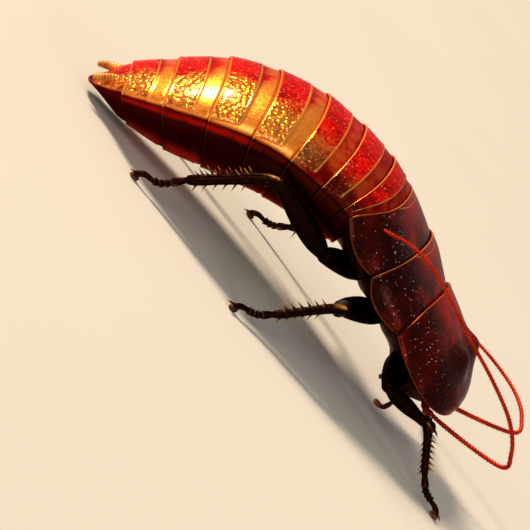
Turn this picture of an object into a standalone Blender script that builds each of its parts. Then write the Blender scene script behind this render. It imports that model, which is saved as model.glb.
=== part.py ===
"""Life-size model of a Madagascar hissing cockroach standing on its six feet, its back arched.

Sizes are in millimetres, and MM turns them into metres where a mesh is made. The head points to +X, the
left side is +Y, and the feet stand on z = 0. Every plate of the body is placed by the distance along the
midline of the body, measured from the tip of the tail.
"""
import collections
import math

import bmesh
import bpy
from mathutils import Matrix, Vector

MM = 0.001
MERGE = 0.002 * MM
GAP = 0.3
UP = Vector((0.0, 0.0, 1.0))

# The drawing's own frame has its mark on the floor below the middle of the back. BOX_MIDDLE is the middle of
# the whole animal in that frame, feelers included, and all of it is moved by that at the end.
BOX_MIDDLE = Vector((12.28, -0.65, 0.0))
TAIL_TIP = Vector((-21.75, 0.06, 1.39))
HEAD_YAW = -7.4
HEAD_ROLL = 8.8
TURN_START = 22.0
TURN_END = 47.0

# Each seam of the body, from the tip of the tail to the front of the pronotum: its distance along the
# midline, the slope of the midline there in degrees, half the width, the height of the back above the side
# margins, the depth of the belly below them, and how far the corners of the plate point backwards.
Seam = collections.namedtuple("Seam", "along slope half_width rise drop corner")
SEAMS = (
    Seam(0.0, 43.5, 2.4, 0.9, 1.2, 0.0),
    Seam(4.6, 43.5, 6.0, 2.1, 4.5, 0.6),
    Seam(9.8, 38.8, 9.3, 3.2, 6.8, 0.8),
    Seam(15.4, 32.7, 11.3, 4.7, 7.8, 0.8),
    Seam(20.9, 24.0, 12.2, 5.3, 8.1, 0.8),
    Seam(26.3, 13.5, 12.6, 5.6, 7.8, 0.8),
    Seam(31.5, 7.5, 12.4, 5.3, 7.3, 0.8),
    Seam(35.8, -2.6, 12.0, 5.1, 6.6, 1.0),
    Seam(38.9, -14.5, 12.0, 4.9, 5.9, 2.8),
    Seam(44.9, -17.6, 12.4, 4.6, 5.5, 0.6),
    Seam(51.0, -20.1, 10.8, 4.2, 5.1, -1.2),
    Seam(64.8, -15.0, 9.6, 3.6, 4.6, 0.0),
)
REAR_OF_ABDOMEN_7 = 1
REAR_OF_METANOTUM = 8
REAR_OF_MESONOTUM = 9
REAR_OF_PRONOTUM = 10
FRONT_OF_PRONOTUM = 11

# How the plates lap over one another, as offsets from the smooth outline of the body.
RIM_OUT = 0.2
RIM_THICK = 0.5
TUCKED = RIM_OUT - RIM_THICK - GAP
CUP_DEPTH = 0.8
THORAX_PLATE_THICK = 0.6
MARGIN_STEP = 0.4
MARGIN_INSET = 0.7
BACK_SHARPNESS = 1.3
BELLY_SHARPNESS = 1.15
BACK_ANGLES = (0, 9, 21, 34, 48, 62, 76, 90, 104, 118, 132, 146, 159, 171, 180)
BELLY_ANGLES = (184, 197, 212, 228, 244, 257, 270, 283, 296, 312, 328, 343, 356)


def smooth(field, along):
    """The named field of SEAMS at a distance along the midline, on a smooth curve through the seams."""
    xs = [seam.along for seam in SEAMS]
    ys = [getattr(seam, field) for seam in SEAMS]
    last = len(xs) - 1
    i = max(j for j in range(last) if xs[j] <= max(along, xs[0]))
    span = xs[i + 1] - xs[i]
    t = min(max((along - xs[i]) / span, -0.3), 1.3)

    def slope_at(j):
        low, high = max(j - 1, 0), min(j + 1, last)
        return (ys[high] - ys[low]) / (xs[high] - xs[low])

    start, end = slope_at(i) * span, slope_at(i + 1) * span
    t2, t3 = t * t, t * t * t
    return (
        ys[i] * (2 * t3 - 3 * t2 + 1)
        + start * (t3 - 2 * t2 + t)
        + ys[i + 1] * (3 * t2 - 2 * t3)
        + end * (t3 - t2)
    )


def body_axes(along):
    """Forward, left and up of the body at a distance along the midline."""
    slope = SEAMS[-1].slope
    for low, high in zip(SEAMS, SEAMS[1:]):
        if along <= high.along:
            share = max(along - low.along, 0.0) / (high.along - low.along)
            slope = low.slope + (high.slope - low.slope) * share
            break
    turn = min(max((along - TURN_START) / (TURN_END - TURN_START), 0.0), 1.0)
    pitch, yaw, roll = (math.radians(x) for x in (slope, HEAD_YAW * turn, HEAD_ROLL * turn))
    forward = Vector((math.cos(pitch) * math.cos(yaw), math.cos(pitch) * math.sin(yaw), math.sin(pitch)))
    level = Vector((-math.sin(yaw), math.cos(yaw), 0.0))
    upright = forward.cross(level)
    left = level * math.cos(roll) + upright * math.sin(roll)
    up = upright * math.cos(roll) - level * math.sin(roll)
    return forward, left, up


MIDLINE_STEP = 0.2
MIDLINE_END = 66.0


def trace_midline():
    """Points along the midline, one every MIDLINE_STEP."""
    points = [TAIL_TIP.copy()]
    for i in range(round(MIDLINE_END / MIDLINE_STEP)):
        forward, _, _ = body_axes((i + 0.5) * MIDLINE_STEP)
        points.append(points[-1] + forward * MIDLINE_STEP)
    return points


MIDLINE = trace_midline()


def on_body(along, side, height):
    """The point at this distance along the midline, to the left of it by side, and above it by height."""
    i = min(max(int(along / MIDLINE_STEP), 0), len(MIDLINE) - 2)
    share = along / MIDLINE_STEP - i
    forward, left, up = body_axes(along)
    return MIDLINE[i].lerp(MIDLINE[i + 1], share) + left * side + up * height


def swept(along, corner, turn):
    """The distance along the midline at a turn round the body, where an edge's corners point backwards."""
    return along - corner * math.cos(turn) ** 4


def back_point(along, angle, grow, corner, lobe=0.0):
    """A point of the back's outline: angle 0 is the left margin, 90 the ridge, 180 the right margin. A lobe
    takes the margins this far out and down."""
    turn = math.radians(angle)
    side = (smooth("half_width", along) + grow + lobe) * math.cos(turn)
    height = (smooth("rise", along) + grow) * max(math.sin(turn), 0.0) ** BACK_SHARPNESS
    height -= lobe * math.cos(turn) ** 8
    return on_body(swept(along, corner, turn), side, height)


def belly_point(along, angle, grow, corner):
    """A point of the belly's outline: angle 180 is the right side, 270 the keel, 360 the left side."""
    turn = math.radians(angle)
    side = (smooth("half_width", along) - MARGIN_INSET + grow) * math.cos(turn)
    depth = (smooth("drop", along) + grow) * max(-math.sin(turn), 0.0) ** BELLY_SHARPNESS
    return on_body(swept(along, corner, turn), side, -MARGIN_STEP - depth)


def body_ring(along, grow, corner):
    """One closed ring round the abdomen, back and belly."""
    back = [back_point(along, a, grow, corner) for a in BACK_ANGLES]
    return back + [belly_point(along, a, grow, corner) for a in BELLY_ANGLES]


def plate_ring(along, grow, thick, corner, lobe=0.0):
    """One closed ring round a plate of the back: its outer face, then its inner face."""
    outer = [back_point(along, a, grow, corner, lobe) for a in BACK_ANGLES]
    inner = [back_point(along, a, grow - thick, corner, lobe) for a in reversed(BACK_ANGLES)]
    return outer + inner


def core_ring(along, grow, narrow, shallow, under):
    """One closed ring round a thorax segment below its plate."""
    half_width = smooth("half_width", along) * narrow + grow
    rise = smooth("rise", along) - under + grow
    ring = []
    for angle in BACK_ANGLES[::2]:
        turn = math.radians(angle)
        height = rise * max(math.sin(turn), 0.0) ** BACK_SHARPNESS
        ring.append(on_body(along, half_width * math.cos(turn), height))
    for angle in BELLY_ANGLES[::2]:
        turn = math.radians(angle)
        depth = (smooth("drop", along) * shallow + grow) * max(-math.sin(turn), 0.0)
        ring.append(on_body(along, (half_width - MARGIN_INSET) * math.cos(turn), -depth - MARGIN_STEP))
    return ring


def new_object(name, mesh, collection):
    obj = bpy.data.objects.new(name, mesh)
    collection.objects.link(obj)
    return obj


def closed_skin(name, bm, collection):
    """Makes an object of a closed skin, in triangles, because a cut goes cleanly only through flat faces."""
    bm.normal_update()
    bmesh.ops.recalc_face_normals(bm, faces=bm.faces)
    bmesh.ops.triangulate(bm, faces=bm.faces)
    mesh = bpy.data.meshes.new(name)
    bm.to_mesh(mesh)
    bm.free()
    return new_object(name, mesh, collection)


def loft(name, rings, collection, folded=False):
    """A closed skin through rings of equal length. Each end is closed by a fan of faces, or across from one
    half of the ring to the other where the ring is folded in two."""
    bm = bmesh.new()
    rows = [[bm.verts.new(point * MM) for point in ring] for ring in rings]
    for low, high in zip(rows, rows[1:]):
        for i in range(len(low)):
            j = (i + 1) % len(low)
            bm.faces.new((low[i], low[j], high[j], high[i]))
    for row in (rows[0], rows[-1]):
        if folded:
            for i in range(len(row) // 2 - 1):
                bm.faces.new((row[i], row[i + 1], row[-2 - i], row[-1 - i]))
            continue
        middle = bm.verts.new(sum((v.co for v in row), Vector()) / len(row))
        for i in range(len(row)):
            bm.faces.new((row[i], row[(i + 1) % len(row)], middle))
    return closed_skin(name, bm, collection)


def apply_modifiers(obj):
    """Replaces the object's mesh by its evaluated one."""
    graph = bpy.context.evaluated_depsgraph_get()
    obj.data = bpy.data.meshes.new_from_object(obj.evaluated_get(graph))
    obj.modifiers.clear()


def clean(obj):
    """Leaves only triangles, and joins vertices that a cut has left almost on top of each other."""
    bm = bmesh.new()
    bm.from_mesh(obj.data)
    bmesh.ops.triangulate(bm, faces=bm.faces)
    bmesh.ops.remove_doubles(bm, verts=bm.verts, dist=MERGE)
    bmesh.ops.dissolve_degenerate(bm, edges=bm.edges, dist=MERGE)
    bmesh.ops.triangulate(bm, faces=bm.faces)
    bm.to_mesh(obj.data)
    bm.free()


def keep_largest(obj):
    """Deletes all but the largest closed surface of the object's mesh."""
    bm = bmesh.new()
    bm.from_mesh(obj.data)
    left = set(bm.faces)
    islands = []
    while left:
        queue = [left.pop()]
        island = set(queue)
        while queue:
            for edge in queue.pop().edges:
                for face in edge.link_faces:
                    if face in left:
                        left.discard(face)
                        island.add(face)
                        queue.append(face)
        islands.append(island)
    islands.sort(key=len, reverse=True)
    for island in islands[1:]:
        bmesh.ops.delete(bm, geom=list(island), context="FACES")
    bm.to_mesh(obj.data)
    bm.free()


def boolean(obj, others, operation, solver="EXACT"):
    """Joins the others to the object, or cuts them from it, and removes them."""
    group = bpy.data.collections.new("working")
    bpy.context.scene.collection.children.link(group)
    for other in others:
        for home in list(other.users_collection):
            home.objects.unlink(other)
        group.objects.link(other)
    modifier = obj.modifiers.new(operation.lower(), "BOOLEAN")
    modifier.operation = operation
    modifier.operand_type = "COLLECTION"
    modifier.collection = group
    modifier.solver = solver
    apply_modifiers(obj)
    for other in others:
        bpy.data.objects.remove(other)
    bpy.data.collections.remove(group)
    keep_largest(obj)


def ground(collection):
    """A block whose top is the floor, to cut what rests on it flat."""
    bm = bmesh.new()
    bmesh.ops.create_cube(bm, size=200 * MM)
    bmesh.ops.translate(bm, verts=bm.verts, vec=(0.0, 0.0, -100 * MM))
    return closed_skin("ground", bm, collection)


# Abdomen: seven rings, each lapping over the front of the one behind it.
SMOOTH_BAND = 0.66
RIDGE = 0.60


def between(rear, front, share):
    """The distance along the midline, and the corner, at a share of the way from one seam to the next."""
    along = rear.along + (front.along - rear.along) * share
    return along, rear.corner + (front.corner - rear.corner) * share


def segment_ring(rear, front, share, grow):
    along, corner = between(rear, front, share)
    return body_ring(along, grow, corner)


def make_abdomen(collection):
    for number in range(7, 0, -1):
        i = REAR_OF_ABDOMEN_7 + 7 - number
        rear, front = SEAMS[i], SEAMS[i + 1]
        inner = RIM_OUT - RIM_THICK
        rings = [
            body_ring(front.along + CUP_DEPTH - GAP, TUCKED, front.corner),
            body_ring(front.along - 0.1, TUCKED, front.corner),
            segment_ring(rear, front, SMOOTH_BAND, -0.3),
            segment_ring(rear, front, RIDGE, -0.1),
            segment_ring(rear, front, 0.3, 0.05),
            body_ring(rear.along + 0.4, RIM_OUT, rear.corner),
            body_ring(rear.along, RIM_OUT - 0.1, rear.corner),
            body_ring(rear.along, inner, rear.corner),
            body_ring(rear.along + CUP_DEPTH, inner, rear.corner),
        ]
        loft(f"abdomen_{number}", rings, collection)
    make_tail(collection)


TAIL_BACK = -0.2
CERCUS_ROOT = 3.4
CERCUS_LENGTH = 3.8
CERCUS_RADIUS = 0.62
CERCUS_RINGS = 9


def tail_rings(grow=0.0):
    tip, front = SEAMS[0], SEAMS[REAR_OF_ABDOMEN_7]
    return [
        body_ring(front.along + CUP_DEPTH - GAP, TUCKED + grow, front.corner),
        body_ring(front.along - 0.2, TUCKED + grow, front.corner),
        segment_ring(tip, front, 0.66, -0.3 + grow),
        segment_ring(tip, front, 0.36, -0.3 + grow),
        body_ring(TAIL_BACK - grow, -0.5 + grow, 0.0),
    ]


def make_tail(collection):
    loft("abdomen_tip", tail_rings(), collection)
    for side, sign in (("left", 1), ("right", -1)):
        start = on_body(CERCUS_ROOT, sign * 2.6, 0.7)
        forward, left, up = body_axes(CERCUS_ROOT)
        path = []
        for i in range(CERCUS_RINGS + 1):
            t = i / CERCUS_RINGS
            reach = CERCUS_LENGTH * t
            point = start - forward * reach + left * sign * 0.28 * reach + up * (0.42 * reach - 0.05 * reach**2)
            bead = 1.0 if i % 2 else 0.86
            path.append((point, CERCUS_RADIUS * bead * (1 - 0.62 * t * t)))
        cercus = tube(f"cercus_{side}", [(p, r, r) for p, r in path], 8, up, collection)
        boolean(cercus, [loft("cutter", tail_rings(GAP), collection)], "DIFFERENCE")


# Limbs are tubes of oval rings along a path.
def tube(name, stations, sides, up, collection):
    """A closed tube through stations of (point, half width, half height), seen along its path."""
    rings = []
    points = [s[0] for s in stations]
    for i, (point, wide, high) in enumerate(stations):
        ahead = (points[min(i + 1, len(points) - 1)] - points[max(i - 1, 0)]).normalized()
        across = ahead.cross(up).normalized()
        over = across.cross(ahead)
        ring = []
        for k in range(sides):
            turn = 2 * math.pi * k / sides
            ring.append(point + across * wide * math.cos(turn) + over * high * math.sin(turn))
        rings.append(ring)
    return loft(name, rings, collection)


def limb_stations(start, end, profile, grow=0.0):
    """Stations of a limb with rounded ends. profile gives (share, half width, half height, lift)."""
    ahead = (end - start).normalized()
    first, last = profile[0], profile[-1]
    stations = [(start - ahead * (0.5 * first[1] + grow), 0.6 * first[1] + grow, 0.6 * first[2] + grow)]
    for share, wide, high, lift in profile:
        stations.append((start.lerp(end, share) + UP * lift, wide + grow, high + grow))
    stations.append((end + ahead * (0.5 * last[1] + grow), 0.6 * last[1] + grow, 0.6 * last[2] + grow))
    return stations


# Thorax: three plates over three segments that carry the legs. A section of a plate is its share of the way to
# the front, how far its outer face stands off the smooth outline of the body, and its thickness.
PLATE_TUCK = 1.1
PLATE_SECTIONS = ((0.8, -0.3, 0.8), (0.6, -0.1, 0.8), (0.4, 0.05, 0.8), (0.2, 0.15, 0.5))
PLATE_LOBE = 0.95
CORE_UNDER = 1.55
CORE_NARROW = 0.76
CORE_SHALLOW = 0.86
PROTHORAX_NARROW = 0.56
PRONOTUM_LENGTH = 14.0
PRONOTUM_WIDEST = 5.0
PRONOTUM_HALF_WIDTH = 12.0
PRONOTUM_SHARES = (0.0, 0.03, 0.14, 0.27, 0.4, 0.5, 0.59, 0.68, 0.77, 0.85, 0.915, 0.96, 0.988)
HORN_PLACE = (8.2, 3.4)
HORN_HEIGHT = 1.25
HORN_RADIUS = 1.9


def plate(name, rear, front, collection):
    """A thorax plate, which laps over what is behind it and tucks in below what is in front of it."""
    thick = THORAX_PLATE_THICK
    rings = [
        plate_ring(front.along + PLATE_TUCK, TUCKED, thick, front.corner),
        plate_ring(front.along - 0.2, TUCKED, thick, front.corner),
    ]
    for share, grow, deep in PLATE_SECTIONS:
        along, corner = between(rear, front, share)
        lobe = PLATE_LOBE * math.sin(math.pi * share) ** 0.7
        rings.append(plate_ring(along, grow, deep, corner, lobe))
    rings += [
        plate_ring(rear.along + 0.3, RIM_OUT, RIM_THICK, rear.corner),
        plate_ring(rear.along, RIM_OUT - 0.1, RIM_THICK - 0.1, rear.corner),
    ]
    return loft(name, rings, collection, folded=True)


def core_rings(rear, front, narrow_rear, narrow_front, grow=0.0):
    count = 4
    rings = []
    for i in range(count + 1):
        share = i / count
        along = rear - grow + (front - rear + 2 * grow) * share
        narrow = narrow_rear + (narrow_front - narrow_rear) * share
        rings.append(core_ring(along, grow, narrow, CORE_SHALLOW, CORE_UNDER))
    return rings


def thorax_cores():
    """The rear end, the front end and the narrowing of each thorax segment."""
    seams = [SEAMS[i].along for i in range(REAR_OF_METANOTUM, FRONT_OF_PRONOTUM + 1)]
    return {
        "metathorax": (seams[0] + CUP_DEPTH, seams[1] - GAP / 2, CORE_NARROW, CORE_NARROW),
        "mesothorax": (seams[1] + GAP / 2, seams[2] - GAP / 2, CORE_NARROW, CORE_NARROW * 0.92),
        "prothorax": (seams[2] + GAP / 2, seams[2] + 6.6, PROTHORAX_NARROW * 1.1, PROTHORAX_NARROW * 0.8),
    }


def horns(forward, side):
    """How much the two blunt horns raise the pronotum at a place on it."""
    height = 0.0
    for sign in (1, -1):
        away = math.hypot(forward - HORN_PLACE[0], side - sign * HORN_PLACE[1])
        height += HORN_HEIGHT * math.exp(-((away / HORN_RADIUS) ** 2))
    return height


def pronotum_size(forward):
    """Half the pronotum's width and its rise, at a distance in front of its rear edge."""
    ahead = max(forward - PRONOTUM_WIDEST, 0.0) / (PRONOTUM_LENGTH - PRONOTUM_WIDEST)
    behind = max(PRONOTUM_WIDEST - forward, 0.0) / PRONOTUM_WIDEST
    rear = SEAMS[REAR_OF_PRONOTUM]
    half_width = PRONOTUM_HALF_WIDTH * max(1 - ahead**2.3, 0.0) ** (1 / 2.3)
    half_width -= (PRONOTUM_HALF_WIDTH - rear.half_width) * behind**2
    share = forward / PRONOTUM_LENGTH
    return half_width, rear.rise * max(1 - share**3.0, 0.0) ** 0.6


def pronotum_arc(forward, thick):
    """One arc across the pronotum, from the left margin to the right one, this far below its outer face."""
    inside = forward * (1 - thick / PRONOTUM_LENGTH)
    half_width, rise = pronotum_size(forward)
    rear = SEAMS[REAR_OF_PRONOTUM]
    fade = max(1 - forward / PRONOTUM_WIDEST, 0.0)
    arc = []
    for angle in BACK_ANGLES:
        turn = math.radians(angle)
        side = (half_width + RIM_OUT - thick) * math.cos(turn)
        height = (rise + RIM_OUT - thick) * max(math.sin(turn), 0.0) ** BACK_SHARPNESS
        along = swept(rear.along + inside, rear.corner * fade, turn)
        arc.append(on_body(along, side, height + horns(inside, side)))
    return arc


def make_pronotum(collection):
    """A domed shield with two blunt horns, closed round its rim."""
    rings = []
    for share in PRONOTUM_SHARES:
        forward = PRONOTUM_LENGTH * share
        thick = RIM_THICK if forward < 0.5 else THORAX_PLATE_THICK
        rings.append(pronotum_arc(forward, 0.0) + pronotum_arc(forward, thick)[::-1])
    return loft("pronotum", rings, collection, folded=True)


def make_thorax(collection):
    plate("metanotum", SEAMS[REAR_OF_METANOTUM], SEAMS[REAR_OF_MESONOTUM], collection)
    plate("mesonotum", SEAMS[REAR_OF_MESONOTUM], SEAMS[REAR_OF_PRONOTUM], collection)
    make_pronotum(collection)
    for name, (rear, front, wide_rear, wide_front) in thorax_cores().items():
        loft(name, core_rings(rear, front, wide_rear, wide_front), collection)


def core_cutter(name, collection):
    rear, front, wide_rear, wide_front = thorax_cores()[name]
    return loft("cutter", core_rings(rear, front, wide_rear, wide_front, GAP), collection)


def ellipsoid(name, middle, axes, around, along, collection):
    """A closed egg shape with three half axes, given as vectors."""
    bm = bmesh.new()
    bmesh.ops.create_uvsphere(bm, u_segments=around, v_segments=along, radius=1.0)
    for vert in bm.verts:
        x, y, z = vert.co
        vert.co = (middle + axes[0] * x + axes[1] * y + axes[2] * z) * MM
    return closed_skin(name, bm, collection)


def spine(root, direction, length, collection):
    """A pointed spine of five sides, with its root at the given place."""
    turned = direction.to_track_quat("Z", "Y").to_matrix().to_4x4()
    middle = root + direction.normalized() * length / 2
    bm = bmesh.new()
    bmesh.ops.create_cone(
        bm,
        cap_ends=True,
        segments=5,
        radius1=SPINE_RADIUS * MM,
        radius2=0.0,
        depth=length * MM,
        matrix=Matrix.Translation(middle * MM) @ turned,
    )
    bmesh.ops.remove_doubles(bm, verts=bm.verts, dist=MERGE)
    return closed_skin("spine", bm, collection)


# Head: rings from the crown down to the mouth, as (distance down, half width, to the front, to the back).
HEAD_TILT = 24.0
HEAD_MIDDLE = (61.0, 0.0, -1.9)
HEAD_RINGS = (
    (-3.6, 1.3, 0.7, 0.7),
    (-3.1, 2.3, 1.35, 1.15),
    (-2.2, 3.0, 1.95, 1.5),
    (-1.0, 3.3, 2.3, 1.7),
    (0.4, 3.15, 2.3, 1.7),
    (1.7, 2.6, 2.05, 1.6),
    (2.8, 2.05, 1.75, 1.4),
    (3.7, 1.6, 1.35, 1.2),
    (4.5, 1.1, 0.8, 0.9),
)
HEAD_SIDES = 20


def head_axes():
    """The head's middle, and its directions to the front, the left and down to the mouth."""
    forward, left, up = body_axes(HEAD_MIDDLE[0])
    tilt = math.radians(HEAD_TILT)
    front = forward * math.cos(tilt) - up * math.sin(tilt)
    down = -up * math.cos(tilt) - forward * math.sin(tilt)
    return on_body(*HEAD_MIDDLE), front, left, down


def in_head(ahead, side, below):
    middle, front, left, down = head_axes()
    return middle + front * ahead + left * side + down * below


def head_rings(grow=0.0):
    rings = []
    for below, half_width, ahead, behind in HEAD_RINGS:
        end = -grow if below < 0 else grow
        reach = below + (end if below in (HEAD_RINGS[0][0], HEAD_RINGS[-1][0]) else 0.0)
        ring = []
        for k in range(HEAD_SIDES):
            turn = 2 * math.pi * k / HEAD_SIDES
            depth = ahead if math.cos(turn) > 0 else behind
            ring.append(
                in_head((depth + grow) * math.cos(turn), (half_width + grow) * math.sin(turn), reach)
            )
        rings.append(ring)
    return rings


EYE_PLACE = (0.35, 2.95, -1.5)
EYE_SIZE = (1.0, 0.75, 1.55)
MANDIBLE_PLACE = (0.5, 1.35, 3.6)
LABRUM_PLACE = (1.1, 0.0, 4.2)
FEELER_ROOT = (1.7, 1.9, -0.6)
FEELER_RADIUS = 0.34
SCAPE_RADIUS = 0.55
FEELER_RIGHT = (
    (44.6, -8.8, 8.3),
    (43.6, -11.6, 11.0),
    (39.8, -13.5, 13.8),
    (34.4, -14.3, 15.7),
    (28.0, -14.5, 17.2),
    (21.1, -14.5, 19.0),
    (16.2, -14.5, 19.35),
    (11.9, -14.4, 18.05),
)
FEELER_LEFT = (
    (46.6, 4.6, 9.6),
    (47.2, 8.2, 11.2),
    (45.2, 12.6, 12.0),
    (41.0, 16.2, 12.0),
    (35.6, 18.6, 11.4),
    (30.0, 20.2, 10.4),
    (24.8, 21.0, 9.2),
)
FEELER_STATIONS = 30
PALP_ROOT = (0.5, 1.75, 2.6)
PALP_BENDS = ((1.5, 3.2, 3.6), (2.3, 3.7, 5.0), (1.6, 3.2, 6.2))
PALP_RADIUS = 0.33
LIP_PALP_ROOT = (-0.5, 0.85, 4.0)
LIP_PALP_BENDS = ((-0.9, 1.4, 5.0), (-0.7, 1.2, 6.0))
LIP_PALP_RADIUS = 0.28


def curve_through(points, count):
    """Evenly spaced points of a smooth curve through the given ones."""
    padded = [points[0] * 2 - points[1]] + list(points) + [points[-1] * 2 - points[-2]]
    dense = []
    for a, b, c, d in zip(padded, padded[1:], padded[2:], padded[3:]):
        for k in range(24):
            t = k / 24
            dense.append(
                0.5 * (2 * b + (c - a) * t + (2 * a - 5 * b + 4 * c - d) * t * t + (3 * b - a - 3 * c + d) * t**3)
            )
    dense.append(points[-1])
    lengths = [0.0]
    for a, b in zip(dense, dense[1:]):
        lengths.append(lengths[-1] + (b - a).length)
    result = []
    j = 0
    for k in range(count):
        goal = lengths[-1] * k / (count - 1)
        while j < len(dense) - 2 and lengths[j + 1] < goal:
            j += 1
        span = lengths[j + 1] - lengths[j]
        result.append(dense[j].lerp(dense[j + 1], min(max((goal - lengths[j]) / span, 0.0), 1.0)))
    return result


def feeler_stations(side_sign, bends):
    root = in_head(FEELER_ROOT[0] - 0.6, side_sign * (FEELER_ROOT[1] - 0.3), FEELER_ROOT[2])
    out = in_head(FEELER_ROOT[0] + 1.3, side_sign * (FEELER_ROOT[1] + 0.9), FEELER_ROOT[2])
    path = curve_through([root, out] + [Vector(b) for b in bends], FEELER_STATIONS)
    stations = []
    for k, point in enumerate(path):
        share = k / (FEELER_STATIONS - 1)
        radius = SCAPE_RADIUS if k < 2 else FEELER_RADIUS * (1 - 0.42 * share)
        stations.append((point, radius, radius))
    return stations


def palp_stations(root, bends, sign, radius):
    places = [Vector(in_head(a, sign * s, b)) for a, s, b in (root,) + bends]
    path = curve_through(places, 3 * (len(places) - 1) + 1)
    stations = []
    for k, point in enumerate(path):
        bead = 1.0 if k % 3 else 0.78
        stations.append((point, radius * bead, radius * bead))
    return stations


def head_cutter(collection):
    return loft("cutter", head_rings(GAP), collection)


def make_head(collection):
    middle, front, left, down = head_axes()
    head = loft("head", head_rings(), collection)
    parts = [
        ellipsoid("labrum", in_head(*LABRUM_PLACE), (front * 0.45, left * 0.95, down * 0.95), 12, 8, collection)
    ]
    for sign in (1, -1):
        ahead, side, below = MANDIBLE_PLACE
        axes = (front * 0.85, left * 0.6, down * 1.1)
        parts.append(ellipsoid("mandible", in_head(ahead, sign * side, below), axes, 12, 8, collection))
    boolean(head, parts, "UNION")
    boolean(head, [core_cutter("prothorax", collection)], "DIFFERENCE")
    up = -down
    for side, sign, bends in (("left", 1, FEELER_LEFT), ("right", -1, FEELER_RIGHT)):
        ahead, out, below = EYE_PLACE
        axes = (front * EYE_SIZE[0], left * EYE_SIZE[1], down * EYE_SIZE[2])
        eye = ellipsoid(f"eye_{side}", in_head(ahead, sign * out, below), axes, 14, 10, collection)
        boolean(eye, [head_cutter(collection)], "DIFFERENCE")
        feeler = tube(f"antenna_{side}", feeler_stations(sign, bends), 6, up, collection)
        boolean(feeler, [head_cutter(collection)], "DIFFERENCE")
        stations = palp_stations(PALP_ROOT, PALP_BENDS, sign, PALP_RADIUS)
        palp = tube(f"maxillary_palp_{side}", stations, 6, left, collection)
        boolean(palp, [head_cutter(collection)], "DIFFERENCE")
        stations = palp_stations(LIP_PALP_ROOT, LIP_PALP_BENDS, sign, LIP_PALP_RADIUS)
        palp = tube(f"labial_palp_{side}", stations, 6, left, collection)
        boolean(palp, [head_cutter(collection)], "DIFFERENCE")


# Legs. hip is a place under the body, as a distance along it and to the left. The other joints are points of
# the drawing, and foot is the path of the foot from the ankle to the root of its claws.
Leg = collections.namedtuple("Leg", "root hip trochanter knee foot size")
LEGS = {
    "hind_right": Leg(
        "metathorax", (43.9, -3.6), (11.1, -8.5, 9.6), (0.0, -13.5, 12.4),
        ((-7.1, -13.5, 4.7), (-8.6, -13.5, 2.3), (-9.6, -13.5, 1.6), (-10.9, -13.4, 1.3), (-11.7, -13.4, 0.42)),
        1.0,
    ),
    "hind_left": Leg(
        "metathorax", (43.9, 3.6), (11.5, 7.5, 10.5), (0.9, 13.6, 12.5),
        ((-6.2, 14.6, 4.8), (-7.7, 14.9, 2.4), (-8.8, 15.1, 1.6), (-10.1, 15.3, 1.3), (-11.0, 15.5, 0.42)),
        1.0,
    ),
    "middle_right": Leg(
        "mesothorax", (50.1, -3.4), (17.0, -9.2, 6.9), (16.0, -16.3, 8.7),
        ((10.4, -19.2, 2.9), (9.1, -20.0, 1.7), (8.0, -20.6, 1.3), (6.8, -21.2, 1.1), (6.0, -21.6, 0.42)),
        0.86,
    ),
    "middle_left": Leg(
        "mesothorax", (50.1, 3.4), (17.6, 6.6, 8.8), (16.2, 13.6, 10.6),
        ((11.2, 17.8, 3.6), (9.9, 18.7, 2.0), (8.8, 19.3, 1.4), (7.6, 19.9, 1.15), (6.8, 20.3, 0.42)),
        0.86,
    ),
    "front_right": Leg(
        "prothorax", (57.0, -2.4), (28.6, -8.4, 4.6), (33.6, -12.8, 6.0),
        ((37.8, -15.0, 2.3), (39.1, -15.8, 1.3), (40.2, -16.4, 1.05), (41.2, -17.0, 0.95), (41.9, -17.4, 0.42)),
        0.72,
    ),
    "front_left": Leg(
        "prothorax", (57.0, 2.4), (29.2, 3.6, 5.6), (34.4, 8.4, 7.2),
        ((39.0, 11.4, 2.6), (40.2, 12.3, 1.4), (41.2, 13.0, 1.1), (42.2, 13.7, 0.95), (42.9, 14.2, 0.42)),
        0.72,
    ),
}
COXA_PROFILE = ((0.0, 1.9, 1.1, 0.0), (0.3, 2.2, 1.2, 0.0), (0.7, 1.8, 1.1, 0.0), (1.0, 1.0, 0.9, 0.0))
FEMUR_PROFILE = (
    (0.0, 0.7, 0.75, 0.0),
    (0.2, 0.9, 1.3, 0.0),
    (0.5, 0.9, 1.35, 0.0),
    (0.82, 0.75, 0.95, 0.0),
    (1.0, 0.62, 0.8, 0.0),
)
TIBIA_PROFILE = (
    (0.0, 0.5, 0.6, 0.0),
    (0.12, 0.58, 0.7, 0.2),
    (0.28, 0.6, 0.75, 0.3),
    (0.6, 0.56, 0.64, 0.12),
    (0.92, 0.6, 0.65, 0.0),
    (1.0, 0.5, 0.55, 0.0),
)
HIP_SUNK = 0.5
TIBIA_SPINES = 6
SPINE_LENGTH = 1.5
SPINE_RADIUS = 0.28
FOOT_RADIUS = 0.4
CLAW_LENGTH = 1.4
CLAW_SUNK = 0.55
CLAW_RADIUS = 0.24
CLAW_SPREAD = 32.0


def sized(profile, size):
    return tuple((share, wide * size, high * size, lift * size) for share, wide, high, lift in profile)


def hip_point(leg):
    """The leg's root, a little inside the underside of its thorax segment."""
    along, side = leg.hip
    _, _, narrow_rear, narrow_front = thorax_cores()[leg.root]
    half_width = smooth("half_width", along) * (narrow_rear + narrow_front) / 2 - MARGIN_INSET
    depth = smooth("drop", along) * CORE_SHALLOW * math.sqrt(1 - (side / half_width) ** 2)
    return on_body(along, side, HIP_SUNK - MARGIN_STEP - depth)


FOOT_JOINTS = (0.0, 0.3, 0.41, 0.51, 0.62, 1.0)


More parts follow.
